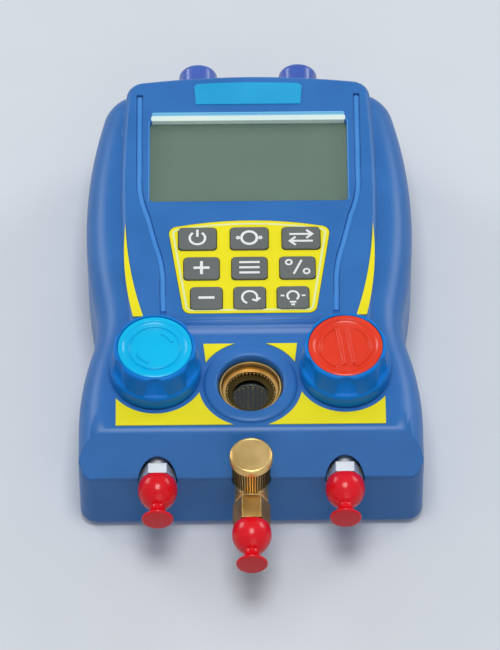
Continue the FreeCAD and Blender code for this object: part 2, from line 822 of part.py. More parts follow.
def make_display():
    """Clear window on its ledge, the display glass under it and the backlight behind."""
    window = new_body("display_window")
    outline = rounded_box("-window_half_width + 0.15", "window_half_width - 0.15",
                          "window_low + 0.15", "window_high - 0.15", "window_radius")
    add(window, "floor", [outline], "ledge_height", "ledge_height + window_thickness")
    glass = new_body("lcd_glass")
    outline = sharp_box("-window_half_width + glass_margin", "window_half_width - glass_margin",
                        "window_low + glass_margin", "window_high - glass_margin")
    add(glass, "floor", [outline], "deck_under - 0.1 - glass_thickness", "deck_under - 0.1")
    backlight = new_body("lcd_backlight")
    outline = sharp_box("-window_half_width - 1", "window_half_width + 1",
                        "window_low - 1", "window_high + 1")
    add(backlight, "floor", [outline], "board_top", "deck_under - 0.1 - glass_thickness")


def make_label_plate():
    """A bare name panel that follows the arched top edge."""
    body = new_body("label_plate")
    outline = both_sides([("0", "label_high", "-(top_arch_radius - case_top + label_high)"),
                          ("label_half_width - 1.2", "label_high - 0.6"),
                          ("label_half_width", "label_high - 1.8"),
                          ("label_half_width - 0.6", "label_low")])
    add(body, "floor", [outline], "face_height", "face_height + film_thickness")


def make_keypad():
    """Yellow key surround, nine keys, the soft mat and its contacts."""
    panel = new_body("keypad_panel")
    add(panel, "floor", [keypad_outline("0")], "keypad_floor", "face_height + 0.1")
    cut(panel, "floor", [key_outline(x, y, width, "key_gap") for _, x, y, width in key_rows()],
        "keypad_floor", "face_height + 0.1")
    mat = new_body("keypad_mat")
    outline = sharp_box("-keypad_half_top", "keypad_half_top", "keypad_low + 1", "keypad_shoulder")
    add(mat, "floor", [outline], "board_top", "board_top + mat_thickness")
    cut(mat, "floor", [key_outline(x, y, width, "0.3 - key_plunger_inset") for _, x, y, width in key_rows()],
        "board_top", "board_top + mat_thickness")
    contacts = []
    flange_top = "keypad_under - 0.1"
    for name, x, y, width in key_rows():
        key = new_body("key_" + name)
        cap = rounded_box("-%s / 2" % width, "%s / 2" % width, "-key_height / 2", "key_height / 2",
                          "key_radius")
        add(key, "floor", [cap], flange_top, "face_height + key_proud")
        crown = value("face_height + key_proud")
        round_edges(key, "0.5", lambda edge: at_height(edge, crown))
        flange = rounded_box("-%s / 2 - key_flange" % width, "%s / 2 + key_flange" % width,
                             "-key_height / 2 - key_flange", "key_height / 2 + key_flange", "key_radius")
        add(key, "floor", [flange], flange_top + " - key_flange_thickness", flange_top)
        plunger = rounded_box("-%s / 2 + key_plunger_inset" % width, "%s / 2 - key_plunger_inset" % width,
                              "-key_height / 2 + key_plunger_inset", "key_height / 2 - key_plunger_inset",
                              "key_radius")
        add(key, "floor", [plunger], "board_top + contact_thickness + key_travel + 0.1",
            flange_top + " - key_flange_thickness")
        set_place(key, x, y)
        contacts.append(cylinder("contact_radius", "contact_thickness", x, y, "board_top"))
    group("key_contacts", contacts)


def make_board():
    """Circuit board on bosses under the face, with its parts and screws."""
    board = new_body("circuit_board")
    outline = rounded_box("-board_half_width", "board_half_width", "board_low", "board_high", "2")
    add(board, "floor", [outline], "board_under", "board_top")
    places = board_screw_places()
    cut(board, "floor", [[(x, y, "1.1")] for x, y in places], "board_under", "board_top")
    group("board_screws", [fuse(cylinder("2", "1.4", x, y, "board_under - 1.4"),
                                cylinder("0.98", "board_thickness + 2.6", x, y, "board_under - 0.2"))
                           for x, y in places])
    chips = [box("12", "12", "1.6", "-24", "4", "board_under - 1.6"),
             box("8", "6", "1.4", "6", "24", "board_under - 1.4"),
             box("16", "5", "2.4", "-8", "58", "board_under - 2.4"),
             box("9", "9", "1.2", "20", "2", "board_under - 1.2"),
             cylinder("3.2", "6", "26", "board_high - 14", "board_under - 6"),
             cylinder("3.2", "6", "-26", "board_high - 14", "board_under - 6")]
    group("board_parts", chips)


def make_valve_block():
    """Aluminium block with the valve, sight glass, port and sensor bores."""
    body = new_body("valve_block")
    outline = rounded_box("-block_half_width", "block_half_width", "block_front", "block_back", "2")
    add(body, "floor", [outline], "block_low", "block_high")
    valves = ("knob_x", "-knob_x")
    cut(body, "floor", [[(x, "knob_y", "bonnet_thread_radius + 0.02")] for x in valves],
        "bonnet_low - 0.1", "block_high")
    cut(body, "floor", [[(x, "knob_y", "piston_radius + running_gap")] for x in valves],
        "seat_height", "bonnet_low")
    cut(body, "floor", [[(x, "knob_y", "seat_radius")] for x in valves], "gallery_height", "seat_height")
    cut(body, "side", [[("knob_y", "gallery_height", "gallery_radius")]], "-knob_x", "knob_x")
    cut(body, "floor", [[("0", "sight_y", "sight_outer_radius + 0.05")]], "sight_shelf", "block_high")
    cut(body, "floor", [[("0", "sight_y", "sight_chamber_radius")]], "gallery_height - 2", "sight_shelf")
    for x, length in (("port_x", "port_thread_length"), ("-port_x", "port_thread_length"),
                      ("0", "tee_thread_length")):
        cut(body, "front", [[(x, "parting_height", "port_thread_radius + 0.02")]],
            "block_front", "block_front + " + length)
        cut(body, "front", [[(x, "parting_height", "gallery_radius - 0.3")]],
            "block_front + " + length, "sight_y - 2")
    cut(body, "front", [[(x, "sensor_height", "sensor_radius - 1.98")] for x in ("sensor_x", "-sensor_x")],
        "block_back - 8", "block_back")
    screws = ("block_screw_x", "-block_screw_x")
    cut(body, "floor", [[(x, "block_screw_y", "block_screw_radius + 0.2")] for x in screws],
        "block_low", "block_high")
    group("block_screws", [fuse(cylinder("block_screw_head", "2.6", x, "block_screw_y", "block_low - 2.6"),
                                cylinder("block_screw_radius", "deck_height - 1.2 - block_low", x,
                                         "block_screw_y", "block_low - 0.2"))
                           for x in screws])


def make_valve(side, x):
    """One valve: bonnet, stem, piston, knob, coloured disc and the screw under it."""
    bonnet = turned(side + "_bonnet", "front", [
        ("stem_radius + running_gap", "bonnet_low"), ("bonnet_thread_radius", "bonnet_low"),
        ("bonnet_thread_radius", "block_high"), ("bonnet_neck_radius", "block_high"),
        ("bonnet_neck_radius", "bonnet_top - 0.6"), ("bonnet_neck_radius - 0.6", "bonnet_top"),
        ("stem_radius + seal_width", "bonnet_top"), ("stem_radius + seal_width", "bonnet_top - seal_depth"),
        ("stem_radius + running_gap", "bonnet_top - seal_depth")], x, "knob_y")
    add(bonnet, "floor", [hexagon("bonnet_flats"), [("0", "0", "bonnet_neck_radius - 1")]],
        "block_high", "block_high + 3.2")
    turned(side + "_piston", "front", [
        ("0", "seat_height + 0.05"), ("seat_radius - 0.6", "seat_height + 0.05"),
        ("needle_radius", "seat_height + 1.6"), ("needle_radius", "piston_low - 1.6"),
        ("piston_radius", "piston_low - 1"), ("piston_radius", "piston_low + piston_head"),
        ("stem_radius + running_gap", "piston_low + piston_head"),
        ("stem_radius + running_gap", "stem_low - 0.05"), ("0", "stem_low - 0.05")], x, "knob_y")
    turned(side + "_stem", "front", [
        ("0", "stem_low"), ("stem_radius - 0.4", "stem_low"), ("stem_radius", "stem_low + 0.4"),
        ("stem_radius", "stem_shoulder"), ("drive_radius", "stem_shoulder"),
        ("drive_radius", "stem_top"), ("1.25", "stem_top"), ("1.25", "stem_top - 5"),
        ("0", "stem_top - 5")], x, "knob_y")
    knob = turned(side + "_knob", "front", [
        ("drive_radius + 0.02", "knob_ceiling"), ("knob_hollow_radius", "knob_ceiling"),
        ("knob_hollow_radius", "knob_base"), ("knob_radius - 0.5", "knob_base"),
        ("knob_radius", "knob_base + 0.5"), ("knob_radius", "knob_base + knob_ledge - 2.4", "2.6"),
        ("knob_radius - 0.7", "knob_base + knob_ledge"),
        ("knob_top_radius", "knob_top - knob_edge", "knob_edge"),
        ("knob_top_radius - knob_edge", "knob_top"),
        ("insert_radius + insert_gap", "knob_top"), ("insert_radius + insert_gap", "insert_floor"),
        ("4", "insert_floor"), ("4", "stem_top"), ("drive_radius + 0.02", "stem_top")], x, "knob_y")
    scallop = cut(knob, "floor", [[("0", "-scallop_reach - scallop_radius", "scallop_radius")]],
                  "knob_base + knob_ledge", "knob_top")
    pattern = knob.newObject("PartDesign::PolarPattern", "Scallops")
    pattern.Originals = [scallop]
    pattern.Axis = (scallop.Profile[0], ["N_Axis"])
    pattern.Angle = 360
    pattern.setExpression("Occurrences", formula("scallop_count"))
    knob.Tip = pattern
    doc.recompute()
    turned(side + "_knob_insert", "front", [
        ("0", "insert_floor"), ("insert_radius", "insert_floor"), ("insert_radius", "knob_top - 0.4"),
        ("insert_radius - 0.4", "knob_top"), ("0", "knob_top")], x, "knob_y")
    turned(side + "_knob_screw", "front", [
        ("0", "stem_top - 4.4"), ("1.2", "stem_top - 4.4"), ("1.2", "stem_top"), ("3.4", "stem_top"),
        ("3.4", "stem_top + 1.6"), ("2.6", "stem_top + 2"), ("0", "stem_top + 2")], x, "knob_y")


def make_stem_seals():
    """A rubber ring in the top of each bonnet, round the stem."""
    rings = []
    for x in ("knob_x", "-knob_x"):
        outside = cylinder("stem_radius + seal_width - running_gap", "seal_height", x, "knob_y",
                           "bonnet_top - seal_depth")
        bore = cylinder("stem_radius + running_gap", "seal_height", x, "knob_y", "bonnet_top - seal_depth")
        rings.append(subtract(outside, bore))
    group("stem_seals", rings)


def make_sight_glass():
    """Brass collar, the glass on its shelf and the seal under it."""
    glass_low = "sight_shelf + sight_seal_height"
    glass_top = glass_low + " + sight_glass_thickness"
    retainer_low = glass_top + " + running_gap"
    retainer_top = retainer_low + " + sight_retainer_height"
    turned("sight_glass_collar", "front", [
        ("sight_retainer_radius", retainer_low), ("sight_outer_radius", retainer_low),
        ("sight_outer_radius", "sight_top - 0.5"), ("sight_outer_radius - 0.5", "sight_top"),
        ("sight_inner_radius + 1.6", "sight_top"), ("sight_inner_radius + 0.9", "sight_top - 1.6"),
        ("sight_inner_radius + 0.9", "sight_top - 3.4"), ("sight_inner_radius", "sight_top - 3.4"),
        ("sight_inner_radius", retainer_top), ("sight_retainer_radius", retainer_top)],
        "0", "sight_y")
    turned("sight_glass_lens", "front", [
        ("0", glass_low), ("sight_glass_radius", glass_low), ("sight_glass_radius", glass_top),
        ("0", glass_top)], "0", "sight_y")
    turned("sight_glass_seal", "front", [
        ("sight_chamber_radius + 0.4", "sight_shelf"), ("sight_glass_radius", "sight_shelf"),
        ("sight_glass_radius", glass_low), ("sight_chamber_radius + 0.4", glass_low)], "0", "sight_y")


def flare_profile(start, end):
    """Radius and place of the threaded flare end, from its root to its tip."""
    return [("flare_tip_radius - 0.9", start), ("flare_tip_radius - 0.9", start + " - 1"),
            ("flare_tip_radius", start + " - 1.6"), ("flare_tip_radius", end + " + 2.2"),
            ("flare_bore_radius + 0.8", end), ("0", end)]


def screwed_end(tip):
    """Radius and place of the end screwed into the block, from its tip to the block's face."""
    return [("0", tip), ("port_thread_radius", tip), ("port_thread_radius", "block_front"),
            ("port_neck_radius", "block_front - 0.1")]


def make_ports():
    """Two plated side ports and the brass centre tee."""
    thread_in = "block_front + port_thread_length - 0.2"
    tee_in = "block_front + tee_thread_length - 0.2"
    for side, x in (("low", "-port_x"), ("high", "port_x")):
        body = turned(side + "_port", "floor",
                      screwed_end(thread_in) + [("port_neck_radius", "flare_start")]
                      + flare_profile("flare_start", "flare_end"), x, "0", "parting_height")
        add(body, "front", [hexagon("port_hex_flats")], "flare_start", "port_hex_start")
        cut(body, "front", [[("0", "0", "flare_bore_radius")]], "flare_end", thread_in)
    tee = turned("centre_tee", "floor", screwed_end(tee_in) + [
        ("port_neck_radius", "tee_y + 7.4"), ("tee_radius", "tee_y + 6.2"),
        ("tee_radius", "tee_hex_start + 0.6"), ("port_neck_radius", "tee_hex_start"),
        ("port_neck_radius", "tee_flare_start")] + flare_profile("tee_flare_start", "tee_flare_end"),
        "0", "0", "parting_height")
    add(tee, "front", [hexagon("tee_hex_flats")], "tee_flare_start", "tee_hex_start")
    branch = "service_tip - parting_height"
    shoulder = "service_cap_low - parting_height - cap_gap"
    add(tee, "floor", [[("0", "tee_y", "branch_radius")]], "0", shoulder)
    add(tee, "floor", [[("0", "tee_y", "flare_tip_radius - 0.5")]], shoulder, branch)
    cut(tee, "front", [[("0", "0", "flare_bore_radius")]], "tee_flare_end", tee_in)
    cut(tee, "floor", [[("0", "tee_y", "branch_bore_radius")]], "0", branch)


def make_caps():
    """Three waisted red caps on the hose ports and the brass cap on the tee's branch."""
    for name, x, start in (("low_cap", "-port_x", "flare_start"), ("high_cap", "port_x", "flare_start"),
                           ("centre_cap", "0", "tee_flare_start")):
        turned(name, "floor", [
            ("cap_mouth_radius", "-cap_gap"), ("cap_rim_radius", "-cap_gap", "-cap_arc"),
            ("cap_neck_radius", "cap_neck_end"), ("cap_neck_radius", "cap_foot_start"),
            ("cap_foot_radius - cap_foot_round", "cap_foot_start", "-cap_foot_round"),
            ("cap_foot_radius", "cap_foot_start - cap_foot_round"),
            ("cap_foot_radius", "cap_end + cap_foot_round", "-cap_foot_round"),
            ("cap_foot_radius - cap_foot_round", "cap_end"), ("0", "cap_end"),
            ("0", "-flare_length - cap_gap"), ("flare_bore_radius + 1.2", "-flare_length - cap_gap"),
            ("cap_mouth_radius", "2.2 - flare_length - cap_gap")], x, start, "parting_height")
    turned("service_cap", "front", [
        ("service_mouth_radius", "service_cap_low"), ("service_cap_low_radius", "service_cap_low"),
        ("service_cap_radius", "service_cap_top - service_cap_rim"),
        ("service_cap_radius", "service_cap_top - service_cap_edge", "service_cap_edge"),
        ("service_cap_radius - service_cap_edge", "service_cap_top"), ("0", "service_cap_top"),
        ("0", "service_tip + cap_gap"), ("service_mouth_radius", "service_tip + cap_gap")],
        "0", "tee_y")


def make_sensors():
    """A pressure sensor screwed into the back of the block on each side."""
    for side, x in (("low", "-sensor_x"), ("high", "sensor_x")):
        body = turned(side + "_sensor", "floor", [
            ("0", "block_back - 7"), ("sensor_radius - 2", "block_back - 7"),
            ("sensor_radius - 2", "block_back"), ("sensor_radius", "block_back + 0.05"),
            ("sensor_radius", "block_back + sensor_length - 2"),
            ("sensor_radius - 1.4", "block_back + sensor_length"),
            ("0", "block_back + sensor_length")], x, "0", "sensor_height")
        add(body, "front", [hexagon("sensor_radius * 2 + 0.6"), [("0", "0", "sensor_radius - 1")]],
            "block_back + 0.05", "block_back + 4")


def make_probe_sockets():
    """Two round sockets for the clamp probes, held by their flanges between the shells."""
    pins = []
    inner = "socket_seat - socket_flange - 1"
    mouth_floor = "socket_end - socket_bore_length"
    barrel = "socket_radius - shell_gap"
    corners = [("pin_circle * cos(%d)" % turn, "pin_circle * sin(%d)" % turn) for turn in (45, 135, 225, 315)]
    for side, x in (("left", "-socket_x"), ("right", "socket_x")):
        body = turned(side + "_probe_socket", "floor", [
            ("0", inner), (barrel, inner), (barrel, "socket_seat - socket_flange"),
            ("socket_flange_radius", "socket_seat - socket_flange"), ("socket_flange_radius", "socket_seat"),
            (barrel, "socket_seat"), (barrel, "socket_end - socket_round", "socket_round"),
            (barrel + " - socket_round", "socket_end"), ("socket_bore_radius", "socket_end"),
            ("socket_bore_radius", mouth_floor), ("0", mouth_floor)], x, "0", "socket_height")
        cut(body, "front", [[(across, up, "pin_radius + 0.03")] for across, up in corners],
            mouth_floor + " - pin_length", mouth_floor)
        pins.extend(cylinder("pin_radius", "pin_length - 0.4", x + " + " + across,
                             mouth_floor + " - pin_length + 0.1", "socket_height + " + up, Vector(0, 1, 0))
                    for across, up in corners)
    group("probe_pins", pins)


def make_trims():
    """Thin yellow inlays on the deck and on the ridges beside the keys."""
    lower = [("trim_side", "trim_foot"), ("trim_side", "trim_side_y", "-trim_radius"),
             ("peak_x", "peak_y", "-trim_sight_radius"), ("trim_foot_in", "trim_foot")]
    upper = [("upper_trim_in", "upper_trim_top", "-trim_sight_radius"),
             ("upper_trim_tip_x", "upper_trim_tip_y"), ("upper_trim_tip_x + 0.9", "upper_trim_top")]
    blade = [("groove_mid_x + 8", "field_widest_y + 1.5", "-140"), ("field_foot_x - 1.4", "field_end - 0.5"),
             ("field_foot_x - 5.2", "field_end - 0.5", "170")]
    for label, loop, level in (("lower_trims", lower, "deck_height"), ("upper_trims", upper, "deck_height"),
                               ("ridge_trims", blade, "face_height")):
        body = new_body(label)
        body.AllowCompound = True
        add(body, "floor", [loop, mirrored(loop)], level, level + " + film_thickness")


def make_battery_bay():
    """Hinged cover, four cells and their contact springs."""
    cover = new_body("battery_cover")
    plate = [("cover_low + cover_thickness / 2", "cover_top", "cover_thickness / 2"),
             ("cover_low + cover_thickness / 2", "cover_setback"),
             ("cover_high", "cover_setback"), ("cover_high", "cover_top")]
    cap = "bay_half_width + cover_lip - cover_gap"
    add(cover, "side", [plate], negative(cap), cap)
    thumb = sharp_box("-9", "9", "cover_high - 6", "cover_high + 1")
    cut(cover, "floor", [thumb], "cover_setback", "cover_setback + 0.9")
    cells = []
    springs = []
    for number in range(4):
        x = "cell_pitch * %s" % (number - 1.5)
        base = "bay_middle - cell_length / 2 - 1"
        can = cylinder("cell_radius", "cell_length - nub_length", x, base, "cell_height", Vector(0, 1, 0))
        nub = cylinder("nub_radius", "nub_length + 0.2", x, base + " + cell_length - nub_length - 0.2",
                       "cell_height", Vector(0, 1, 0))
        cells.append(fuse(can, nub))
        springs.append(cylinder("nub_radius + 1.4", "%s - bay_low - 0.2" % base, x, "bay_low + 0.1",
                                "cell_height", Vector(0, 1, 0)))
        springs.append(cylinder("nub_radius + 1.4", "bay_high - (%s) - cell_length - 0.2" % base, x,
                                base + " + cell_length + 0.1", "cell_height", Vector(0, 1, 0)))
    group("battery_cells", cells)
    group("battery_contacts", springs)


def make_hook():
    """Folding hook in its pocket in the back, on a steel pin."""
    hook = new_body("hanging_hook")
    outer = [("hook_half_width", "hook_pivot_y + 1.9"), ("hook_half_width", "hook_end + 6"),
             ("hook_half_width - 6", "hook_end"), ("6 - hook_half_width", "hook_end"),
             ("-hook_half_width", "hook_end + 6"), ("-hook_half_width", "hook_pivot_y + 1.9")]
    inner = [("hook_half_width - 3.4", "hook_pivot_y + 3"), ("hook_half_width - 3.4", "hook_end + 7"),
             ("hook_half_width - 7", "hook_end + 3.4"), ("7 - hook_half_width", "hook_end + 3.4"),
             ("3.4 - hook_half_width", "hook_end + 7"), ("3.4 - hook_half_width", "hook_pivot_y + 3")]
    low, high = "hook_height - hook_wire_radius", "hook_height + hook_wire_radius"
    add(hook, "floor", [outer], low, high)
    cut(hook, "floor", [inner], low, high)
    cut(hook, "side", [[("hook_pivot_y", "hook_height", "hook_pin_radius + running_gap")]],
        "-hook_half_width", "hook_half_width")
    keep(cylinder("hook_pin_radius", "(hook_half_width + wall) * 2 - 0.4", "-hook_half_width - wall + 0.2",
                  "hook_pivot_y", "hook_height", Vector(1, 0, 0)), "hook_pin")


def check_and_write():
    """Stops on any failed object, then writes each sub-part to its own file."""
    doc.recompute()
    for thing in doc.Objects:
        if "Invalid" in thing.State or "Error" in thing.State:
            raise RuntimeError("%s (%s) failed: %s" % (thing.Name, thing.Label, thing.State))
    os.makedirs("parts", exist_ok=True)
    for thing in subparts:
        shape = thing.Shape
        if shape.isNull() or not shape.isValid() or not shape.Solids:
            raise RuntimeError(thing.Label + ": no valid solid")
    for thing in subparts:
        thing.Shape.exportStep(os.path.join("parts", thing.Label + ".step"))
        solids = thing.Shape.Solids
        print("%-20s %2d solid(s) %10.1f mm3" % (thing.Label, len(solids), sum(s.Volume for s in solids)))
    print(len(subparts), "sub-parts")


make_front_case()
make_rear_case()
make_case_screws()
make_display()
make_label_plate()
make_keypad()
make_board()
make_valve_block()
make_valve("low", "-knob_x")
make_valve("high", "knob_x")
make_stem_seals()
make_sight_glass()
make_ports()
make_caps()
make_sensors()
make_probe_sockets()
make_trims()
make_battery_bay()
make_hook()
check_and_write()
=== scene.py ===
"""A digital two-valve refrigerant manifold gauge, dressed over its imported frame.

Metres, with +Z out of the display face, +Y towards the probe sockets and -Y towards the hose ports.
Places and sizes of the pieces are written in millimetres and scaled by MM.
"""
import json
import math

import bmesh
import bpy
from mathutils import Matrix, Quaternion, Vector

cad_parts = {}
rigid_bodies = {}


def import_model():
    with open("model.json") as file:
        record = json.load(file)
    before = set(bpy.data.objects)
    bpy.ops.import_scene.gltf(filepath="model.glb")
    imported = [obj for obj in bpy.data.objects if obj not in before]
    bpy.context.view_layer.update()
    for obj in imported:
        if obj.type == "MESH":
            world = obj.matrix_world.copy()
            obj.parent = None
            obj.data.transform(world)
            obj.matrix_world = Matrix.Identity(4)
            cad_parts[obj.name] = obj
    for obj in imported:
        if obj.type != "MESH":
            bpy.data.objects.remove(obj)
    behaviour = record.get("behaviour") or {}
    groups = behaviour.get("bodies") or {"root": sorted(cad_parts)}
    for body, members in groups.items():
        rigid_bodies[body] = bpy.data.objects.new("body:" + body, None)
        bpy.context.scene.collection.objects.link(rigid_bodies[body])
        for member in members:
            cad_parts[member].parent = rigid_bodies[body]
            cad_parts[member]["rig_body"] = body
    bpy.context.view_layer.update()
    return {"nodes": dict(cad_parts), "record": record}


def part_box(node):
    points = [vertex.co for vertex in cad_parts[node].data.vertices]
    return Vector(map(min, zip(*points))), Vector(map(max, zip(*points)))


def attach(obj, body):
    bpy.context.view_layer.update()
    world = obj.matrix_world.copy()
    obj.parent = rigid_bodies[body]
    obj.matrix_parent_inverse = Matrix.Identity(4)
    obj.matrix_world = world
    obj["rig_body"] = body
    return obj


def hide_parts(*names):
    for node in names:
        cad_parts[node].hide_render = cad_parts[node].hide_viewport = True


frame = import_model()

MM = 0.001
TURN = 2 * math.pi
# A colour Mix node has several sockets of one name, so they are picked by number
MIX_LOW, MIX_HIGH, MIX_COLOUR = 6, 7, 2
slots = {part["node"]: part["material_slot"] for part in frame["record"]["subparts"]}


# Colours and nodes

def linear(colour):
    """An sRGB hex colour as linear RGBA."""
    parts = [int(colour[i:i + 2], 16) / 255 for i in (1, 3, 5)]
    return tuple(c / 12.92 if c <= 0.04045 else ((c + 0.055) / 1.055) ** 2.4 for c in parts) + (1.0,)


def add_node(tree, kind, settings=None, inputs=None):
    """Adds a node. An input given as a socket is linked, and any other value is set on the node's socket."""
    made = tree.nodes.new(kind)
    for name, setting in (settings or {}).items():
        setattr(made, name, setting)
    for name, given in (inputs or {}).items():
        if isinstance(given, bpy.types.NodeSocket):
            tree.links.new(given, made.inputs[name])
        else:
            made.inputs[name].default_value = given
    return made


def start_material(name):
    """A material without nodes, its tree, and the object's own coordinates in it."""
    material = bpy.data.materials.new(name)
    material.use_nodes = True
    tree = material.node_tree
    tree.nodes.clear()
    return material, tree, add_node(tree, "ShaderNodeTexCoord").outputs["Object"]


def noise(tree, place, size, detail):
    """Noise with patches of a size in millimetres."""
    return add_node(tree, "ShaderNodeTexNoise", inputs={
        "Vector": place, "Scale": 1 / (size * MM), "Detail": detail}).outputs["Fac"]


def two_shades(tree, share, low, high):
    """A colour between two hex colours."""
    return add_node(tree, "ShaderNodeMix", {"data_type": "RGBA"}, {
        "Factor": share, MIX_LOW: linear(low), MIX_HIGH: linear(high)}).outputs[MIX_COLOUR]


def cloudy(tree, share, low, high):
    """Two shades that pass into each other over the middle of a noise."""
    middle = add_node(tree, "ShaderNodeMapRange", inputs={"Value": share, "From Min": 0.3, "From Max": 0.7})
    return two_shades(tree, middle.outputs["Result"], low, high)


def worn(tree, share, roughness, wear):
    """A roughness that a noise lowers and raises by the two values of wear."""
    return add_node(tree, "ShaderNodeMapRange", inputs={
        "Value": share, "To Min": roughness + wear[0], "To Max": roughness + wear[1]}).outputs["Result"]


def relief(tree, height, depth, edge):
    """Normals of a fine relief over softened edges. depth and edge are in millimetres."""
    soft = add_node(tree, "ShaderNodeBevel", {"samples": 4}, {"Radius": edge * MM})
    return add_node(tree, "ShaderNodeBump", inputs={
        "Height": height, "Distance": depth * MM, "Strength": 1.0,
        "Normal": soft.outputs["Normal"]}).outputs["Normal"]


def reckon(tree, operation, *values):
    """The result of a Math node."""
    return add_node(tree, "ShaderNodeMath", {"operation": operation}, dict(enumerate(values))).outputs[0]


def either(tree, first, second):
    """1 where one of two switches is 1."""
    return reckon(tree, "MAXIMUM", first, second)


def mixed(tree, share, first, second):
    """One shader where share is 0, and the other where it is 1."""
    return add_node(tree, "ShaderNodeMixShader", inputs={0: share, 1: first, 2: second}).outputs["Shader"]


# Patches of a plastic's shades, stains of a metal and smears of a clear sheet, in millimetres
PATCH, STAIN, SMEAR = 22.0, 9.0, 14.0
# What each of them takes from the roughness and adds to it
PLASTIC_WEAR, METAL_WEAR, PANE_WEAR = (-0.04, 0.05), (-0.06, 0.1), (0.0, 0.05)
# Depth of a metal's machined lines, its softened edges, and how far the lines are drawn out
LINE_DEPTH, METAL_EDGE, LINE_STRETCH = 0.004, 0.25, 0.02


def moulded_plastic(name, low, high, roughness, grain, depth, edge=0.4, coat=0.0, ior=1.5):
    """A moulded plastic: cloudy colour between two shades, a fine spark-eroded grain and softened edges.

    grain, depth and edge are in millimetres.
    """
    material, tree, place = start_material(name)
    cloud = noise(tree, place, PATCH, 3.0)
    shader = add_node(tree, "ShaderNodeBsdfPrincipled", inputs={
        "Base Color": cloudy(tree, cloud, low, high), "Roughness": worn(tree, cloud, roughness, PLASTIC_WEAR),
        "IOR": ior, "Coat Weight": coat, "Coat Roughness": 0.12,
        "Normal": relief(tree, noise(tree, place, grain, 2.0), depth, edge)})
    add_node(tree, "ShaderNodeOutputMaterial", inputs={"Surface": shader.outputs["BSDF"]})
    return material


def turned_metal(name, low, high, roughness, groove, across="Y"):
    """A machined metal: lines across the given axis, a groove's width in millimetres apart, and stains."""
    material, tree, place = start_material(name)
    stretch = [LINE_STRETCH] * 3
    stretch["XYZ".index(across)] = 1.0
    along = add_node(tree, "ShaderNodeMapping", inputs={"Vector": place, "Scale": stretch})
    lines = noise(tree, along.outputs["Vector"], groove, 3.0)
    stains = noise(tree, place, STAIN, 4.0)
    shader = add_node(tree, "ShaderNodeBsdfPrincipled", inputs={
        "Base Color": cloudy(tree, stains, low, high), "Metallic": 1.0,
        "Roughness": worn(tree, stains, roughness, METAL_WEAR),
        "Normal": relief(tree, lines, LINE_DEPTH, METAL_EDGE)})
    add_node(tree, "ShaderNodeOutputMaterial", inputs={"Surface": shader.outputs["BSDF"]})
    return material


def clear_pane(name, tint, roughness, ior):
    """A clear polished sheet. Shadow and diffuse rays pass it, so that what lies under it is lit once."""
    material, tree, place = start_material(name)
    smears = noise(tree, place, SMEAR, 4.0)
    pane = add_node(tree, "ShaderNodeBsdfPrincipled", inputs={
        "Base Color": linear(tint), "Roughness": worn(tree, smears, roughness, PANE_WEAR),
        "IOR": ior, "Transmission Weight": 1.0})
    through = add_node(tree, "ShaderNodeBsdfTransparent", inputs={"Color": linear(tint)})
    rays = add_node(tree, "ShaderNodeLightPath").outputs
    passing = either(tree, rays["Is Shadow Ray"], rays["Is Diffuse Ray"])
    add_node(tree, "ShaderNodeOutputMaterial", inputs={
        "Surface": mixed(tree, passing, pane.outputs["BSDF"], through.outputs["BSDF"])})
    return material


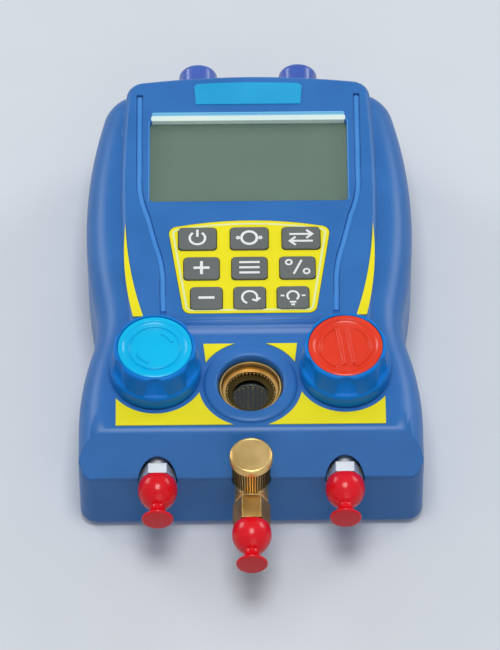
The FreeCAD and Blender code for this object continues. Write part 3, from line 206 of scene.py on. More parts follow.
finishes = {
    # Satin moulded ABS: even blue with a fine grain, so highlights are soft streaks along the edges
    "housing_blue": moulded_plastic("abs_satin_blue", "#2A6CB3", "#3274BD", 0.36, 0.5, 0.01,
                                    edge=0.6, ior=1.42),
    # Polished acrylic: clear with sharp reflections
    "display_window": clear_pane("acrylic_polished", "#F4FAF8", 0.01, 1.49),
    # Liquid crystal glass with its polariser film: even grey-green
    "display_glass": moulded_plastic("lcd_polariser", "#647460", "#6A7A66", 0.5, 0.4, 0.0002),
    # Diffusing acrylic: milky white
    "light_panel": moulded_plastic("acrylic_diffuser", "#E4E6E0", "#ECEEE8", 0.5, 0.3, 0.002),
    # Printed polyester film: flat bright blue
    "name_film": moulded_plastic("polyester_film_blue", "#16A0D6", "#1EAAE0", 0.35, 0.3, 0.002, edge=0.1),
    # Printed polyester film: strong yellow, slightly glossy
    "yellow_film": moulded_plastic("polyester_film_yellow", "#F2E600", "#F8EC00", 0.42, 0.35, 0.002,
                                   edge=0.1),
    # Moulded silicone rubber: grey and matt
    "key_rubber": moulded_plastic("silicone_rubber_grey", "#5F6362", "#686C6A", 0.62, 0.25, 0.006, edge=0.3),
    "mat_rubber": moulded_plastic("silicone_rubber_mat", "#8C908E", "#969A98", 0.65, 0.25, 0.006),
    # Glass-epoxy board with its green lacquer
    "board_green": moulded_plastic("glass_epoxy_lacquer", "#1C5A34", "#24683E", 0.35, 0.6, 0.01, coat=0.4),
    # Moulded epoxy of the chips: black and matt
    "chip_black": moulded_plastic("moulded_epoxy_black", "#17181A", "#1E1F21", 0.6, 0.15, 0.004),
    # Gold plate on contacts and pins: warm and bright
    "contact_gold": turned_metal("gold_plate", "#D9B25A", "#E3BF6C", 0.28, 0.4),
    # Zinc-plated steel screws: cool grey, dull
    "screw_steel": turned_metal("zinc_plated_steel", "#9A9DA0", "#B4B7BA", 0.36, 0.25, across="Z"),
    # Milled aluminium: pale, with long fine cutter marks
    "block_aluminium": turned_metal("milled_aluminium", "#B4B6B9", "#C6C8CA", 0.38, 0.5),
    # Turned brass: warm gold with faint brown tarnish
    "brass": turned_metal("turned_brass", "#D8AE66", "#EEC680", 0.34, 0.35),
    # Nickel plate over brass: bright and slightly warm
    "plated_brass": turned_metal("nickel_plate", "#EAE9E6", "#F6F5F2", 0.52, 0.35),
    # Nitrile rubber rings: black with a slight sheen
    "seal_rubber": moulded_plastic("nitrile_rubber", "#121212", "#1A1A1A", 0.5, 0.2, 0.004),
    # Moulded polypropylene: saturated azure, with little sheen
    "knob_blue": moulded_plastic("polypropylene_azure", "#0074CC", "#027ED8", 0.38, 0.7, 0.01,
                                 edge=0.5, ior=1.27),
    # Glossy moulded ABS discs: even, strong colour with sharp glints on the raised marks
    "insert_cyan": moulded_plastic("abs_gloss_cyan", "#00BAEC", "#00C2F4", 0.22, 0.6, 0.004,
                                   edge=0.3, ior=1.36),
    "insert_red": moulded_plastic("abs_gloss_red", "#E43614", "#EE3E1C", 0.22, 0.6, 0.004,
                                  edge=0.3, ior=1.42),
    # Dipped soft vinyl: wet-looking red
    "cap_red": moulded_plastic("soft_vinyl_red", "#E00614", "#EA0E22", 0.22, 1.2, 0.01,
                               edge=0.3, coat=0.1, ior=1.38),
    # Toughened glass of the sight port: clear and faintly green
    "sight_glass": clear_pane("toughened_glass", "#D6DECE", 0.01, 1.52),
    # Stainless steel of the pressure sensors: grey and even
    "sensor_steel": turned_metal("stainless_steel", "#A6A8AA", "#BCBEC0", 0.3, 0.3),
    # Polycarbonate sockets: blue, slightly violet and glossy
    "socket_blue": moulded_plastic("polycarbonate_blue", "#3A5CB6", "#4768C4", 0.22, 0.8, 0.006, coat=0.3),
    # Shrunk sleeve of the cells: dark green and glossy
    "cell_jacket": moulded_plastic("cell_sleeve", "#2E4A3C", "#35564A", 0.3, 0.8, 0.004, coat=0.5),
    # Glass-filled nylon of the hook: black and dull
    "hook_black": moulded_plastic("filled_nylon_black", "#1B1C1E", "#242527", 0.5, 0.3, 0.01, edge=0.3),
}
# Brass painted dark as shade: the whole knurl of the service cap, and the liner and well inside the sight
# port
shaded_brass = turned_metal("brass_painted_shade", "#42381E", "#5A4C2A", 0.55, 0.35, across="Z")
# Painted highlight in a clearer azure than the case: raised lines in the long grooves stand for their lit
# walls, and thin lines for the lit sides of the window's recess
azure_highlight = moulded_plastic("azure_painted_highlight", "#4A98E4", "#58A4EC", 0.26, 0.5, 0.004, edge=0.3)
# Screen ink on the key tops: flat white
white_ink = moulded_plastic("screen_ink_white", "#E9ECEA", "#F2F4F2", 0.5, 0.3, 0.002, edge=0.05)
# Pale line round the yellow key surround: painted highlight of its raised rim
rim_highlight_line = moulded_plastic("rim_painted_highlight", "#E6EEA6", "#EEF4B2", 0.45, 0.3, 0.002, edge=0.05)
# Painted highlight in strips along the top of the display: nearly white below, on the lit upper wall of the
# window's recess, and sky blue above, on the lit rounded edge of the face
pale_highlight_strip = moulded_plastic("pale_painted_highlight", "#D9F0EE", "#E6F6EC", 0.3, 0.3, 0.001, edge=0.05)
sky_highlight_strip = moulded_plastic("sky_painted_highlight", "#6FC0EC", "#7CC8F0", 0.3, 0.3, 0.001, edge=0.05)


# Mesh helpers

# Edges that turn by more than this stay sharp, in degrees
SHARP = 32
# CAD facets that meet at less than this become one face, in degrees
FLATTENED = 0.4
# Points of a CAD node, and of a turned profile, that are welded when they are this close in millimetres
NODE_WELD, PROFILE_WELD = 0.001, 0.0001


def body_of(node):
    return frame["nodes"][node]["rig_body"]


def box_middle(node):
    """The middle of a node's box and its two corners, in millimetres."""
    low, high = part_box(node)
    return (low + high) / 2 / MM, low / MM, high / MM


def settle(piece, body, slot, *nodes):
    """Rides a piece on its body and hides the CAD nodes that it stands for. Its slot is not used."""
    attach(piece, body)
    if nodes:
        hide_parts(*nodes)


def shade(mesh, angle):
    """Smooth shading up to an angle in degrees."""
    mesh.shade_smooth()
    mesh.set_sharp_from_angle(angle=math.radians(angle))


def new_object(name, shape):
    """An object from a bmesh."""
    mesh = bpy.data.meshes.new(name)
    shape.to_mesh(mesh)
    shape.free()
    piece = bpy.data.objects.new(name, mesh)
    bpy.context.scene.collection.objects.link(piece)
    return piece


def new_piece(name, shape, material, angle=SHARP):
    """An object from a bmesh with its material, smooth up to an angle in degrees."""
    piece = new_object(name, shape)
    piece.data.materials.append(material)
    shade(piece.data, angle)
    return piece


def make_plain(piece):
    """Turns a piece and its modifiers into a plain mesh."""
    seen = bpy.context.evaluated_depsgraph_get()
    old = piece.data
    piece.data = bpy.data.meshes.new_from_object(
        piece.evaluated_get(seen), preserve_all_data_layers=True, depsgraph=seen)
    piece.modifiers.clear()
    bpy.data.meshes.remove(old)


def smoothed(node):
    """A merged and smoothly shaded copy of a CAD node stands for it.

    Its normals are weighted by face area, so that flat faces stay flat beside rounded edges.
    """
    shape = bmesh.new()
    shape.from_mesh(frame["nodes"][node].data)
    bmesh.ops.remove_doubles(shape, verts=shape.verts, dist=NODE_WELD * MM)
    bmesh.ops.dissolve_limit(shape, angle_limit=math.radians(FLATTENED), verts=shape.verts, edges=shape.edges)
    piece = new_piece(node + "_finish", shape, finishes[slots[node]])
    piece.modifiers.new("even", "WEIGHTED_NORMAL").keep_sharp = True
    make_plain(piece)
    settle(piece, body_of(node), slots[node], node)


def lathe(profile, centre, axis="Z", segments=96):
    """A profile of (radius, height) in millimetres, spun about an axis through a centre in millimetres."""
    shape = bmesh.new()
    rings = []
    for radius, height in profile:
        if not radius:
            rings.append([shape.verts.new((0, 0, height))])
            continue
        rings.append([shape.verts.new((radius * math.cos(TURN * k / segments),
                                       radius * math.sin(TURN * k / segments), height))
                      for k in range(segments)])
    for low, high in zip(rings, rings[1:]):
        for k in range(segments):
            corners = [low[k % len(low)], low[(k + 1) % segments % len(low)],
                       high[(k + 1) % segments % len(high)], high[k % len(high)]]
            corners = list(dict.fromkeys(corners))
            if len(corners) > 2:
                shape.faces.new(corners)
    turn = {"Z": Matrix.Identity(4), "Y": Matrix.Rotation(-TURN / 4, 4, "X")}[axis]
    shape.transform(Matrix.Translation(Vector(centre) * MM) @ turn @ Matrix.Scale(MM, 4))
    bmesh.ops.remove_doubles(shape, verts=shape.verts, dist=PROFILE_WELD * MM)
    bmesh.ops.recalc_face_normals(shape, faces=shape.faces)
    return shape


# Cross-sections of a line: share of the half width, share of the height
FLAT = ((-1, 0), (1, 0), (1, 1), (-1, 1))
ROUNDED = ((-1, 0), (1, 0), (1, 0.3), (0.85, 0.65), (0.5, 0.9), (0, 1), (-0.5, 0.9), (-0.85, 0.65), (-1, 0.3))
# A corner's mitre reaches no further than the half width divided by this
MITRE = 0.4


def stroke(shape, points, width, low, high, closed=False, section=FLAT):
    """A flat or raised line through points in millimetres, mitred at its corners."""
    count = len(points)
    sides = []
    for k, (x, y) in enumerate(points):
        before = points[k - 1] if k or closed else points[k]
        after = points[(k + 1) % count] if k < count - 1 or closed else points[k]
        here = Vector((x, y))
        into = (here - Vector(before)).normalized() if before != points[k] else None
        out = (Vector(after) - here).normalized() if after != points[k] else None
        into, out = into or out, out or into
        along = (into + out).normalized()
        across = Vector((-along.y, along.x))
        reach = width / 2 / max(MITRE, across.dot(Vector((-into.y, into.x))))
        sides.append((here, across * reach))
    rings = [[shape.verts.new(((here + reach * side) * MM).to_tuple() + ((low + (high - low) * rise) * MM,))
              for side, rise in section] for here, reach in sides]
    pairs = list(zip(rings, rings[1:])) + ([(rings[-1], rings[0])] if closed else [])
    corners = len(section)
    for first, second in pairs:
        for k in range(corners):
            shape.faces.new((first[k], first[(k + 1) % corners], second[(k + 1) % corners], second[k]))
    if not closed:
        shape.faces.new(rings[0])
        shape.faces.new(rings[-1][::-1])


def lined(name, lines, material, body, slot, angle=SHARP):
    """A piece made of lines, each given as what stroke asks for."""
    shape = bmesh.new()
    for line in lines:
        stroke(shape, *line)
    bmesh.ops.recalc_face_normals(shape, faces=shape.faces)
    settle(new_piece(name, shape, material, angle), body, slot)


def arc(x, y, radius, start, end, steps=24):
    """Points along an arc, with its angles in degrees."""
    angles = [math.radians(start + (end - start) * k / steps) for k in range(steps + 1)]
    return [(x + radius * math.cos(angle), y + radius * math.sin(angle)) for angle in angles]


def ring(x, y, radius, steps=32):
    return arc(x, y, radius, 0, 360, steps)[:-1]


def mirrored(points):
    return [(-x, y) for x, y in reversed(points)]


def bow(start, end, radius):
    """Points on an arc between two points. A positive radius curves it to the left of its way."""
    first, last = Vector(start), Vector(end)
    along = last - first
    across = Vector((-along.y, along.x)).normalized()
    height = math.sqrt(radius ** 2 - along.length_squared / 4)
    centre = (first + last) / 2 + across * math.copysign(height, radius)
    begin = math.degrees(math.atan2(first.y - centre.y, first.x - centre.x))
    finish = math.degrees(math.atan2(last.y - centre.y, last.x - centre.x))
    finish += 360 * round((begin - finish) / 360)
    return arc(centre.x, centre.y, abs(radius), begin, finish, 16)


def plate(points, low, high, lip):
    """A flat sheet with the given outline, its upper edge bevelled by a lip. All in millimetres."""
    shape = bmesh.new()
    centre = sum((Vector(point) for point in points), Vector((0, 0))) / len(points)
    levels = [(0.0, low), (0.0, high - lip), (lip, high)] if lip else [(0.0, low), (0.0, high)]
    rings = []
    for inset, level in levels:
        row = []
        for point in points:
            away = Vector(point) - centre
            here = centre + Vector((away.x - math.copysign(inset, away.x),
                                    away.y - math.copysign(inset, away.y)))
            row.append(shape.verts.new((here.x * MM, here.y * MM, level * MM)))
        rings.append(row)
    count = len(points)
    for under, over in zip(rings, rings[1:]):
        for k in range(count):
            shape.faces.new((under[k], under[(k + 1) % count], over[(k + 1) % count], over[k]))
    shape.faces.new(rings[0][::-1])
    shape.faces.new(rings[-1])
    bmesh.ops.recalc_face_normals(shape, faces=shape.faces)
    return shape


def round_box(left, right, low, high, radius):
    """The outline of a rectangle with rounded corners."""
    return (arc(right - radius, low + radius, radius, -90, 0, 8)
            + arc(right - radius, high - radius, radius, 0, 90, 8)
            + arc(left + radius, high - radius, radius, 90, 180, 8)
            + arc(left + radius, low + radius, radius, 180, 270, 8))


def spots(points):
    """A bmesh of single points in millimetres."""
    shape = bmesh.new()
    for point in points:
        shape.verts.new(Vector(point) * MM)
    return shape


# Trees that grow what repeats

def grown(name, base, build, sizes, material, body, slot, *nodes):
    """Grows what repeats by Geometry Nodes over a base mesh and settles it as a plain mesh.

    build adds the nodes and returns the geometry. sizes are its named inputs: lengths in millimetres, and
    counts as whole numbers.
    """
    piece = new_object(name, base)
    tree = bpy.data.node_groups.new(name, "GeometryNodeTree")
    tree.interface.new_socket("Base", in_out="INPUT", socket_type="NodeSocketGeometry")
    for size, value in sizes.items():
        kind = "NodeSocketInt" if isinstance(value, int) else "NodeSocketFloat"
        tree.interface.new_socket(size, in_out="INPUT", socket_type=kind)
    tree.interface.new_socket("Geometry", in_out="OUTPUT", socket_type="NodeSocketGeometry")
    given = add_node(tree, "NodeGroupInput").outputs
    plain = add_node(tree, "GeometryNodeRealizeInstances", inputs={"Geometry": build(tree, given)})
    dressed = add_node(tree, "GeometryNodeSetMaterial", inputs={
        "Geometry": plain.outputs["Geometry"], "Material": material})
    add_node(tree, "NodeGroupOutput", inputs={"Geometry": dressed.outputs["Geometry"]})
    grower = piece.modifiers.new(name, "NODES")
    grower.node_group = tree
    for socket in tree.interface.items_tree:
        if socket.in_out == "INPUT" and socket.name in sizes:
            value = sizes[socket.name]
            grower[socket.identifier] = value if isinstance(value, int) else value * MM
    make_plain(piece)
    shade(piece.data, SHARP)
    settle(piece, body, slot, *nodes)


def vector(tree, **parts):
    """A vector from its named parts."""
    return add_node(tree, "ShaderNodeCombineXYZ", inputs=parts).outputs[0]


def bar(tree, x, y, z):
    size = vector(tree, X=x, Y=y, Z=z)
    return add_node(tree, "GeometryNodeMeshCube", inputs={"Size": size}).outputs["Mesh"]


def on_points(tree, points, instance, **more):
    """An instance on every point."""
    return add_node(tree, "GeometryNodeInstanceOnPoints", inputs={
        "Points": points, "Instance": instance, **more}).outputs["Instances"]


def moved(tree, geometry, **change):
    return add_node(tree, "GeometryNodeTransform", inputs={
        "Geometry": geometry, **change}).outputs["Geometry"]


def teeth(tree, given):
    """Bars round an upright axis, turned to face it. The base's points are the middles of the circles."""
    circle = add_node(tree, "GeometryNodeMeshCircle", {"fill_type": "NONE"}, {
        "Vertices": given["Count"], "Radius": given["Circle"]})
    index = add_node(tree, "GeometryNodeInputIndex").outputs[0]
    angle = reckon(tree, "MULTIPLY", index, reckon(tree, "DIVIDE", TURN, given["Count"]))
    lean = reckon(tree, "ARCTAN2", given["Lean"], given["Tall"])
    turn = add_node(tree, "FunctionNodeEulerToRotation", inputs={"Euler": vector(tree, Y=lean, Z=angle)})
    row = on_points(tree, circle.outputs["Mesh"], bar(tree, given["Thick"], given["Wide"], given["Tall"]),
                    Rotation=turn.outputs[0])
    return on_points(tree, given["Base"], row)


def helix(tree, given):
    """A round-crested helix along Z."""
    line = add_node(tree, "GeometryNodeCurveSpiral", inputs={
        "Resolution": 40, "Rotations": given["Turns"], "Start Radius": given["Circle"],
        "End Radius": given["Circle"], "Height": given["Tall"]})
    crest = add_node(tree, "GeometryNodeCurvePrimitiveCircle", inputs={
        "Resolution": 6, "Radius": given["Crest"]})
    return add_node(tree, "GeometryNodeCurveToMesh", inputs={
        "Curve": line.outputs["Curve"], "Profile Curve": crest.outputs["Curve"],
        "Fill Caps": True}).outputs["Mesh"]


def upright_threads(tree, given):
    """A helix up from each point of the base."""
    return on_points(tree, given["Base"], helix(tree, given))


def port_threads(tree, given):
    """A helix from each point of the base along -Y, as the hose ports lie."""
    return on_points(tree, given["Base"], moved(tree, helix(tree, given), Rotation=(TURN / 4, 0, 0)))


def cylinder(tree, vertices, radius, depth, middle):
    """A cylinder along Z about a middle height."""
    made = add_node(tree, "GeometryNodeMeshCylinder", inputs={
        "Vertices": vertices, "Radius": radius, "Depth": depth})
    return moved(tree, made.outputs["Mesh"], Translation=vector(tree, Z=middle))


def cut_from(tree, whole, tool):
    return add_node(tree, "GeometryNodeMeshBoolean", {"operation": "DIFFERENCE"}, {
        "Mesh 1": whole, "Mesh 2": tool}).outputs["Mesh"]


def cross_screws(tree, given):
    """Screws with a cross recess in a cheese head. Each base point is the middle of a head's outer face."""
    head_middle = reckon(tree, "MULTIPLY", given["Head"], 0.5)
    head = cylinder(tree, 40, given["Radius"], given["Head"], head_middle)
    head = cut_from(tree, head, bar(tree, given["Cross"], given["Slot"], given["Head"]))
    head = cut_from(tree, head, bar(tree, given["Slot"], given["Cross"], given["Head"]))
    shank_middle = reckon(tree, "MULTIPLY_ADD", given["Length"], 0.5, given["Head"])
    shank = cylinder(tree, 24, given["Shank"], given["Length"], shank_middle)
    screw = add_node(tree, "GeometryNodeJoinGeometry", inputs={"Geometry": shank})
    tree.links.new(head, screw.inputs["Geometry"])
    return on_points(tree, given["Base"], screw.outputs["Geometry"])


def bars(tree, given):
    """A straight bar on each point of the base."""
    return on_points(tree, given["Base"], bar(tree, given["Wide"], given["Thick"], given["Tall"]))


# CAD nodes that keep their shape

OWN_PIECES = {"low_knob_insert", "high_knob_insert", "display_window", "low_cap", "high_cap", "centre_cap",
              "service_cap", "case_screws"}
for node in sorted(frame["nodes"]):
    if node not in OWN_PIECES:
        smoothed(node)


# Plain signs printed on the keys, in place of words

# Ink of the signs, and the painted highlight line round the keys, reach this far into what they lie on, and
# signs and that line stand this high
INK_AND_HIGHLIGHT_SINK, SIGN_RISE, LINE_RISE = 0.02, 0.07, 0.05
# Each further stroke of a sign lies this much higher, so that crossing strokes don't flicker
STROKE_RISE = 0.01
SIGNS = {
    "power": [(arc(0, 0, 2.9, 125, 415), 0.9, False), ([(0, 0.6), (0, 3.9)], 0.9, False)],
    "zero": [(ring(0, 0, 2.9), 1.0, True), (ring(-4.2, 0, 0.5, 12), 0.6, True),
             (ring(4.2, 0, 0.5, 12), 0.6, True)],
    "units": [([(-4.4, 1.5), (4.0, 1.5)], 0.85, False), ([(2.0, 3.4), (4.2, 1.5), (2.0, -0.4)], 0.85, False),
              ([(4.4, -1.7), (-4.0, -1.7)], 0.85, False),
              ([(-2.0, 0.2), (-4.2, -1.7), (-2.0, -3.6)], 0.85, False)],
    "plus": [([(-3.0, 0), (3.0, 0)], 1.1, False), ([(0, -3.0), (0, 3.0)], 1.1, False)],
    "mode": [([(-3.8, 2.4), (3.8, 2.4)], 0.95, False), ([(-3.8, 0), (3.8, 0)], 0.95, False),
             ([(-3.8, -2.4), (3.8, -2.4)], 0.95, False)],
    "scale": [(ring(-3.2, 2.2, 1.1, 16), 0.7, True), ([(-1.4, -3.2), (1.6, 3.2)], 0.8, False),
              (ring(3.4, -2.0, 1.1, 16), 0.7, True)],
    "minus": [([(-3.0, 0), (3.0, 0)], 1.1, False)],
    "vacuum": [(arc(0, 0, 2.8, -30, 250), 0.85, False),
               ([(0.9, -1.0), (2.5, -1.6), (3.9, -0.3)], 0.85, False)],
    "lamp": [(arc(0, 0.5, 2.1, -50, 230), 0.8, False), ([(-1.2, -2.3), (1.2, -2.3)], 0.8, False),
             ([(-0.7, -3.5), (0.7, -3.5)], 0.8, False), ([(-4.6, 0.6), (-3.2, 0.6)], 0.7, False),
             ([(3.2, 0.6), (4.6, 0.6)], 0.7, False)],
}
for key, lines in SIGNS.items():
    middle, _, top = box_middle("key_" + key)
    lined("sign_" + key, [
        ([(middle.x + x, middle.y + y) for x, y in points], width,
         top.z - INK_AND_HIGHLIGHT_SINK, top.z + SIGN_RISE + STROKE_RISE * number, closed)
        for number, (points, width, closed) in enumerate(lines)], white_ink, "key_" + key, "light_panel")


# Pale line of painted highlight round the yellow key surround: a bowed top edge, and rounded corners above
# and below

CORNER = 1.7
panel_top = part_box("keypad_panel")[1].z / MM
half_line = arc(26.8, 23.03, CORNER, 82.8, -7.6, 10) + arc(21.83, -10.75, CORNER, -9.8, -90, 10)
top_line = arc(0, -109.1, 136.5, 101.4, 78.6, 30)[1:-1]
lined("keypad_line", [(top_line + half_line + mirrored(half_line), 0.8, panel_top - INK_AND_HIGHLIGHT_SINK,
                       panel_top + LINE_RISE, True)], rim_highlight_line, "root", "yellow_film")


# Display: the film under the window, the window itself and pale strips of painted highlight above it

def sheet(name, half_width, edges, corner, levels, lip, material, slot, *nodes):
    """A sheet with rounded corners across the middle of the face, between two edges in Y and two levels."""
    outline = round_box(-half_width, half_width, *edges, corner)
    settle(new_piece(name, plate(outline, *levels, lip), material), "root", slot, *nodes)


sheet("display_film", 37.3, (38.3, 76.7), 1.5, (44.0, 44.1), 0.0, finishes["display_glass"], "display_glass")
sheet("window_pane", 37.35, (38.25, 76.75), 1.6, (44.15, 45.5), 0.2, finishes["display_window"],
      "display_window", "display_window")
# The lower strip also covers the upper wall of the window's recess, as the painted highlight of that wall
sheet("display_strip_low", 36.9, (76.55, 79.0), 0.6, (45.55, 47.62), 0.1, pale_highlight_strip, "light_panel")
sheet("display_strip_high", 36.7, (79.0, 80.7), 0.8, (47.4, 47.56), 0.1, sky_highlight_strip, "name_film")
# Thin azure lines along the window's sides: painted highlight of the recess edges
lined("display_side_lines", [([(x, 38.6), (x, 76.6)], 0.35, 47.4, 47.54) for x in (-37.7, 37.7)],
      azure_highlight, "root", "name_film")


# Raised azure lines along the two long grooves: painted highlight of their lit walls

GROOVE_WIDTH, GROOVE_FLOOR, HIGHLIGHT_TOP = 2.3, 45.8, 46.6
groove = ([(41.3, 89.0), (41.3, 70.0)] + bow((41.3, 50.3), (38.4, 32.3), -45)
          + bow((35.2, 18.3), (32.4, -1.7), 60) + [(32.1, -12.0)])
lined("groove_highlights", [(way, GROOVE_WIDTH, GROOVE_FLOOR, HIGHLIGHT_TOP, False, ROUNDED)
                        for way in (groove, mirrored(groove))], azure_highlight, "root", "housing_blue", 40)


# Soft caps of the hose ports: a bulb, a narrow neck and a flared foot to pull by

# Both side ports lie this far from the middle, and all three at one height
PORT_X, PORT_Z = 34.4, 30
# Where the flare of a side port and of the centre port starts, and how far in front of that its thread starts
SIDE_FLARE_Y, CENTRE_FLARE_Y, THREAD_START = -77.2, -97.1, 1.8
# Radius of the bulb's profile, the middle of its arc, and its start and length along the cap
BULB, BULB_SINK, BULB_MIDDLE, BULB_START, BULB_LENGTH = 8.7, 1.4, -4.0, -0.5, 11.1
# Radius of the neck, and radius, start and length of the flare behind it
NECK, FLARE, FLARE_START, FLARE_LENGTH = 2.83, 5.2, -11.8, 4.7
# The foot's rounded edge, and the cap's end
FOOT, FOOT_EDGE, FOOT_START, CAP_END = 5.05, 0.8, -16.5, -17.3
# The hollow that goes over the port's flare, as (radius, height)
CAP_HOLLOW = [(0, -9.9), (3.6, -9.9), (5.75, -7.7), (5.75, -0.5), (5.95, -0.3), (6.25, -0.3)]


def cap_profile():
    """(radius, height) along the cap, from its hollow to the end of its foot."""
    bulb = [(math.sqrt(BULB ** 2 - (height - BULB_MIDDLE) ** 2) - BULB_SINK, height)
            for height in [BULB_START - BULB_LENGTH * k / 28 for k in range(29)]]
    flare = [(NECK + FLARE - math.sqrt(FLARE ** 2 - (FLARE_LENGTH * k / 14) ** 2),
              FLARE_START - FLARE_LENGTH * k / 14) for k in range(15)]
    foot = [(FOOT + FOOT_EDGE * math.cos(math.radians(angle)),
             FOOT_START - FOOT_EDGE * math.sin(math.radians(angle))) for angle in (15, 35, 55, 75, 90)]
    return CAP_HOLLOW + bulb + flare + foot + [(0, CAP_END)]


for cap, x, y in (("low_cap", -PORT_X, SIDE_FLARE_Y), ("high_cap", PORT_X, SIDE_FLARE_Y),
                  ("centre_cap", 0, CENTRE_FLARE_Y)):
    settle(new_piece(cap + "_soft", lathe(cap_profile(), (x, y, PORT_Z), "Y"), finishes["cap_red"], 50),
           body_of(cap), slots[cap], cap)


# Brass cap of the service valve: a bright rimmed disc over a knurled taper painted dark as shade

SERVICE_Y = -81.7
# Profiles here and below are (radius, height)
SERVICE_PROFILE = [
    (0, 48.1), (5.25, 48.1), (5.25, 39.6), (5.6, 39.2), (5.6, 37.8), (6.2, 37.8), (6.45, 38.1), (7.0, 49.6),
    (7.5, 50.0), (7.95, 50.5), (7.95, 52.5), (7.8, 52.9), (7.5, 53.3), (7.1, 53.5), (6.9, 53.5),
    (6.75, 53.35), (0, 53.35)]
settle(new_piece("service_cap_disc", lathe(SERVICE_PROFILE, (0, SERVICE_Y, 0)), finishes["brass"], 28),
       body_of("service_cap"), slots["service_cap"], "service_cap")
# The knurl's teeth are in brass painted dark as shade
grown("service_cap_knurl", spots([(0, SERVICE_Y, 43.9)]), teeth,
      {"Count": 44, "Circle": 6.75, "Thick": 0.55, "Wide": 0.48, "Tall": 11.0, "Lean": 0.54},
      shaded_brass, body_of("service_cap"), slots["service_cap"])


# Sight port: a toothed retainer rim on a liner, a fluted well under the glass, with liner and well painted
# dark as shade, and the case's raised boss about it

SIGHT_Y = -44.2
SIGHT_SLOT = slots["sight_glass_collar"]
LINER_PROFILE = [(6.7, 37.6), (9.25, 37.6), (9.25, 39.5), (8.9, 39.5), (8.9, 37.8), (6.7, 37.8), (6.7, 37.6)]
WELL_PROFILE = [(0, 18.1), (6.95, 18.1), (6.95, 32.8), (6.5, 32.8), (6.5, 18.8), (0, 18.8)]
BOSS_PROFILE = [
    (12.3, 44.3), (17.4, 44.3), (17.35, 44.9), (17.1, 45.25), (16.6, 45.5), (15.9, 45.65), (14.0, 45.7),
    (13.0, 45.6), (12.5, 45.35), (12.3, 44.9), (12.3, 44.3)]
# Liner and well are in brass painted dark as shade
settle(new_piece("sight_liner", lathe(LINER_PROFILE, (0, SIGHT_Y, 0)), shaded_brass), "root", SIGHT_SLOT)
grown("sight_teeth", spots([(0, SIGHT_Y, 38.6)]), teeth,
      {"Count": 40, "Circle": 8.85, "Thick": 0.5, "Wide": 0.6, "Tall": 1.7, "Lean": 0.0},
      finishes["brass"], "root", SIGHT_SLOT)
settle(new_piece("sight_well", lathe(WELL_PROFILE, (0, SIGHT_Y, 0)), shaded_brass), "root", SIGHT_SLOT)
grown("sight_flutes", spots([(0, SIGHT_Y, 25.8)]), teeth,
      {"Count": 22, "Circle": 6.4, "Thick": 0.5, "Wide": 0.8, "Tall": 13.8, "Lean": 0.0},
      finishes["brass"], "root", SIGHT_SLOT)
settle(new_piece("sight_boss", lathe(BOSS_PROFILE, (0, SIGHT_Y, 0), segments=128), finishes["housing_blue"],
                 40), "root", "housing_blue")


# Threads of the hose ports and of the service valve, seen when the caps are off

PORT_THREAD = {"Turns": 4, "Circle": 5.2, "Tall": 5.4, "Crest": 0.4}
BRANCH_THREAD = {"Turns": 5, "Circle": 4.85, "Tall": 6.4, "Crest": 0.3}
side_starts = [(x, SIDE_FLARE_Y - THREAD_START, PORT_Z) for x in (-PORT_X, PORT_X)]
centre_start = (0, CENTRE_FLARE_Y - THREAD_START, PORT_Z)
branch_start = (0, SERVICE_Y, 40.2)
for name, places, build, sizes, node in (
        ("port_threads", side_starts, port_threads, PORT_THREAD, "low_port"),
        ("centre_thread", [centre_start], port_threads, PORT_THREAD, "centre_tee"),
        ("branch_thread", [branch_start], upright_threads, BRANCH_THREAD, "centre_tee")):
    grown(name, spots(places), build, sizes, finishes[slots[node]], "root", slots[node])


# Case screws with their cross recesses, and the grip of the battery cover

SCREW_PLACES = ((49.8, 72.3), (51.0, 2.3), (55.0, -67.7))
SCREW_LEVEL, GRIP_START, GRIP_PITCH, GRIP_LEVEL = 1.0, 50.0, 2.2, 0.2
grown("case_screw_set", spots([(side * x, y, SCREW_LEVEL) for x, y in SCREW_PLACES for side in (-1, 1)]),
      cross_screws, {"Radius": 2.75, "Head": 2.0, "Cross": 3.4, "Slot": 0.8, "Shank": 1.45, "Length": 32.8},
      finishes["screw_steel"], "root", slots["case_screws"], "case_screws")
grown("cover_grip", spots([(0, GRIP_START + GRIP_PITCH * k, GRIP_LEVEL) for k in range(5)]), bars,
      {"Wide": 24.0, "Thick": 1.0, "Tall": 0.3}, finishes["housing_blue"],
      body_of("battery_cover"), slots["battery_cover"])


# Knob discs with raised marks

# The disc's face from its rim inwards: distance from the rim, depth under the crown
DISC_FACE = ((0.0, 0.5), (0.15, 0.2), (0.5, 0.0), (1.7, 0.0), (2.3, 0.45), (2.8, 0.7))
# Marks start this far under the crown and end just under it
MARK_FOOT, MARK_TOP = 0.8, 0.05


def knob_disc(side, marks):
    """A coloured disc let into the knob, with its raised marks."""
    node = side + "_knob_insert"
    middle, low, high = box_middle(node)
    radius = high.x - middle.x
    crown = high.z
    face = [(radius - inset, crown - depth) for inset, depth in DISC_FACE]
    profile = [(0, low.z), (radius, low.z), *face, (0, face[-1][1])]
    shape = lathe(profile, (middle.x, middle.y, 0), segments=128)
    for points, width, closed in marks:
        stroke(shape, [(middle.x + x, middle.y + y) for x, y in points], width,
               crown - MARK_FOOT, crown - MARK_TOP, closed, ROUNDED)
    bmesh.ops.recalc_face_normals(shape, faces=shape.faces)
    settle(new_piece(side + "_knob_disc", shape, finishes[slots[node]]), side + "_knob", slots[node], node)


# A ring, and inside it an arc on either side
knob_disc("low", [(ring(0, 0, 9.4, 64), 0.7, True), (arc(0, 0, 6.8, 200, 250), 1.2, False),
                  (arc(0, 0, 6.8, 20, 70), 1.2, False)])
# Two arcs parted by two slanting bars
knob_disc("high", [(arc(0, 0, 9.2, 112, 248, 40), 1.5, False), (arc(0, 0, 9.2, -68, 68, 40), 1.5, False),
                   ([(-3.0, 8.0), (-0.4, -8.2)], 1.7, False), ([(0.4, 8.4), (3.0, -7.8)], 1.7, False)])


# Camera at the photograph's viewing angle

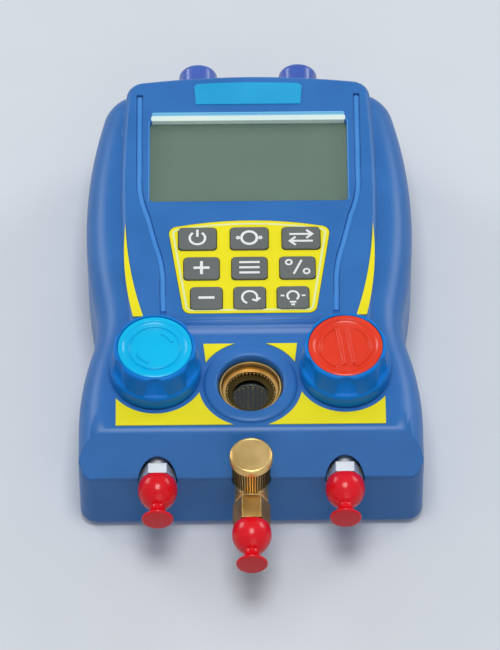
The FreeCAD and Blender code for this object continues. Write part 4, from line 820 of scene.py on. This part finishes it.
CAMERA_PLACE = Vector((0.9, -1263.8, 1773.7)) * MM
CAMERA_AIM = Vector((0.0, -1.0, 22.0)) * MM
CAMERA_ROLL = math.radians(-0.55)
camera_data = bpy.data.cameras.new("camera")
camera_data.sensor_width = 36.0
camera_data.lens = 318.0
camera_data.clip_start = 0.05
camera_data.clip_end = 20.0
camera = bpy.data.objects.new("camera", camera_data)
bpy.context.scene.collection.objects.link(camera)
bpy.context.scene.camera = camera
camera.location = CAMERA_PLACE
towards = (CAMERA_AIM - CAMERA_PLACE).to_track_quat("-Z", "Y")
camera.rotation_euler = (towards @ Quaternion((0, 0, 1), CAMERA_ROLL)).to_euler()


# Studio lights, in metres and watts

LIGHT_AIM = Vector((0, 0, 0.02))


def soft_light(name, place, size, power):
    """A square lamp that faces the gauge."""
    data = bpy.data.lights.new(name, "AREA")
    data.shape = "SQUARE"
    data.size = size
    data.energy = power
    lamp = bpy.data.objects.new(name, data)
    lamp.location = place
    lamp.rotation_euler = (LIGHT_AIM - lamp.location).to_track_quat("-Z", "Y").to_euler()
    bpy.context.scene.collection.objects.link(lamp)


soft_light("top_light", Vector((0.0, -0.2, 1.45)), 0.5, 9.5)
soft_light("left_rim_light", Vector((-1.05, 0.75, 0.62)), 0.5, 4.0)
soft_light("right_rim_light", Vector((1.05, 0.75, 0.62)), 0.5, 4.0)
soft_light("front_light", Vector((0.3, -1.5, 0.9)), 1.0, 2.5)


# Floor of pale paper

BACKDROP = "#B4C0D0"
# The paper's half size and the span over which it fades, in metres, and its drop in millimetres
FLOOR_HALF, FADE_START, FADE_END, FLOOR_DROP = 4.0, 0.6, 1.8, 0.3
floor_material, paper, floor_place = start_material("backdrop_paper")
floor_shader = add_node(paper, "ShaderNodeBsdfPrincipled", inputs={
    "Base Color": two_shades(paper, noise(paper, floor_place, 25.0, 2.0), "#DADFE5", "#DEE3E9"),
    "Roughness": 0.8})
# Far from the gauge the paper takes the backdrop's colour, so that no dark horizon shows
reach = add_node(paper, "ShaderNodeVectorMath", {"operation": "LENGTH"}, {0: floor_place})
fade = add_node(paper, "ShaderNodeMapRange", inputs={
    "Value": reach.outputs["Value"], "From Min": FADE_START, "From Max": FADE_END})
glow = add_node(paper, "ShaderNodeEmission", inputs={"Color": linear(BACKDROP), "Strength": 1.0})
faded = mixed(paper, fade.outputs["Result"], floor_shader.outputs["BSDF"], glow.outputs["Emission"])
# The paper is seen from above only, and light from under it reaches the gauge's back
floor_rays = add_node(paper, "ShaderNodeLightPath").outputs
lighting_rays = either(paper, floor_rays["Is Diffuse Ray"], floor_rays["Is Shadow Ray"])
unseen = either(paper, lighting_rays, add_node(paper, "ShaderNodeNewGeometry").outputs["Backfacing"])
clear = add_node(paper, "ShaderNodeBsdfTransparent").outputs["BSDF"]
add_node(paper, "ShaderNodeOutputMaterial", inputs={"Surface": mixed(paper, unseen, faded, clear)})
floor_shape = bmesh.new()
bmesh.ops.create_grid(floor_shape, x_segments=1, y_segments=1, size=FLOOR_HALF)
floor = new_piece("floor", floor_shape, floor_material)
floor.location.z = -FLOOR_DROP * MM


# Sky: an even light, and the backdrop's colour where it is seen

world = bpy.data.worlds.new("studio")
bpy.context.scene.world = world
world.use_nodes = True
sky = world.node_tree
sky.nodes.clear()
sky_rays = add_node(sky, "ShaderNodeLightPath").outputs
seen_rays = either(sky, either(sky, sky_rays["Is Camera Ray"], sky_rays["Is Glossy Ray"]),
                   sky_rays["Is Transmission Ray"])
lighting = add_node(sky, "ShaderNodeBackground", inputs={"Color": linear("#F2F4F8"), "Strength": 0.36})
backdrop = add_node(sky, "ShaderNodeBackground", inputs={"Color": linear(BACKDROP), "Strength": 1.0})
add_node(sky, "ShaderNodeOutputWorld", inputs={
    "Surface": mixed(sky, seen_rays, lighting.outputs["Background"], backdrop.outputs["Background"])})
bpy.context.scene.view_settings.view_transform = "Standard"
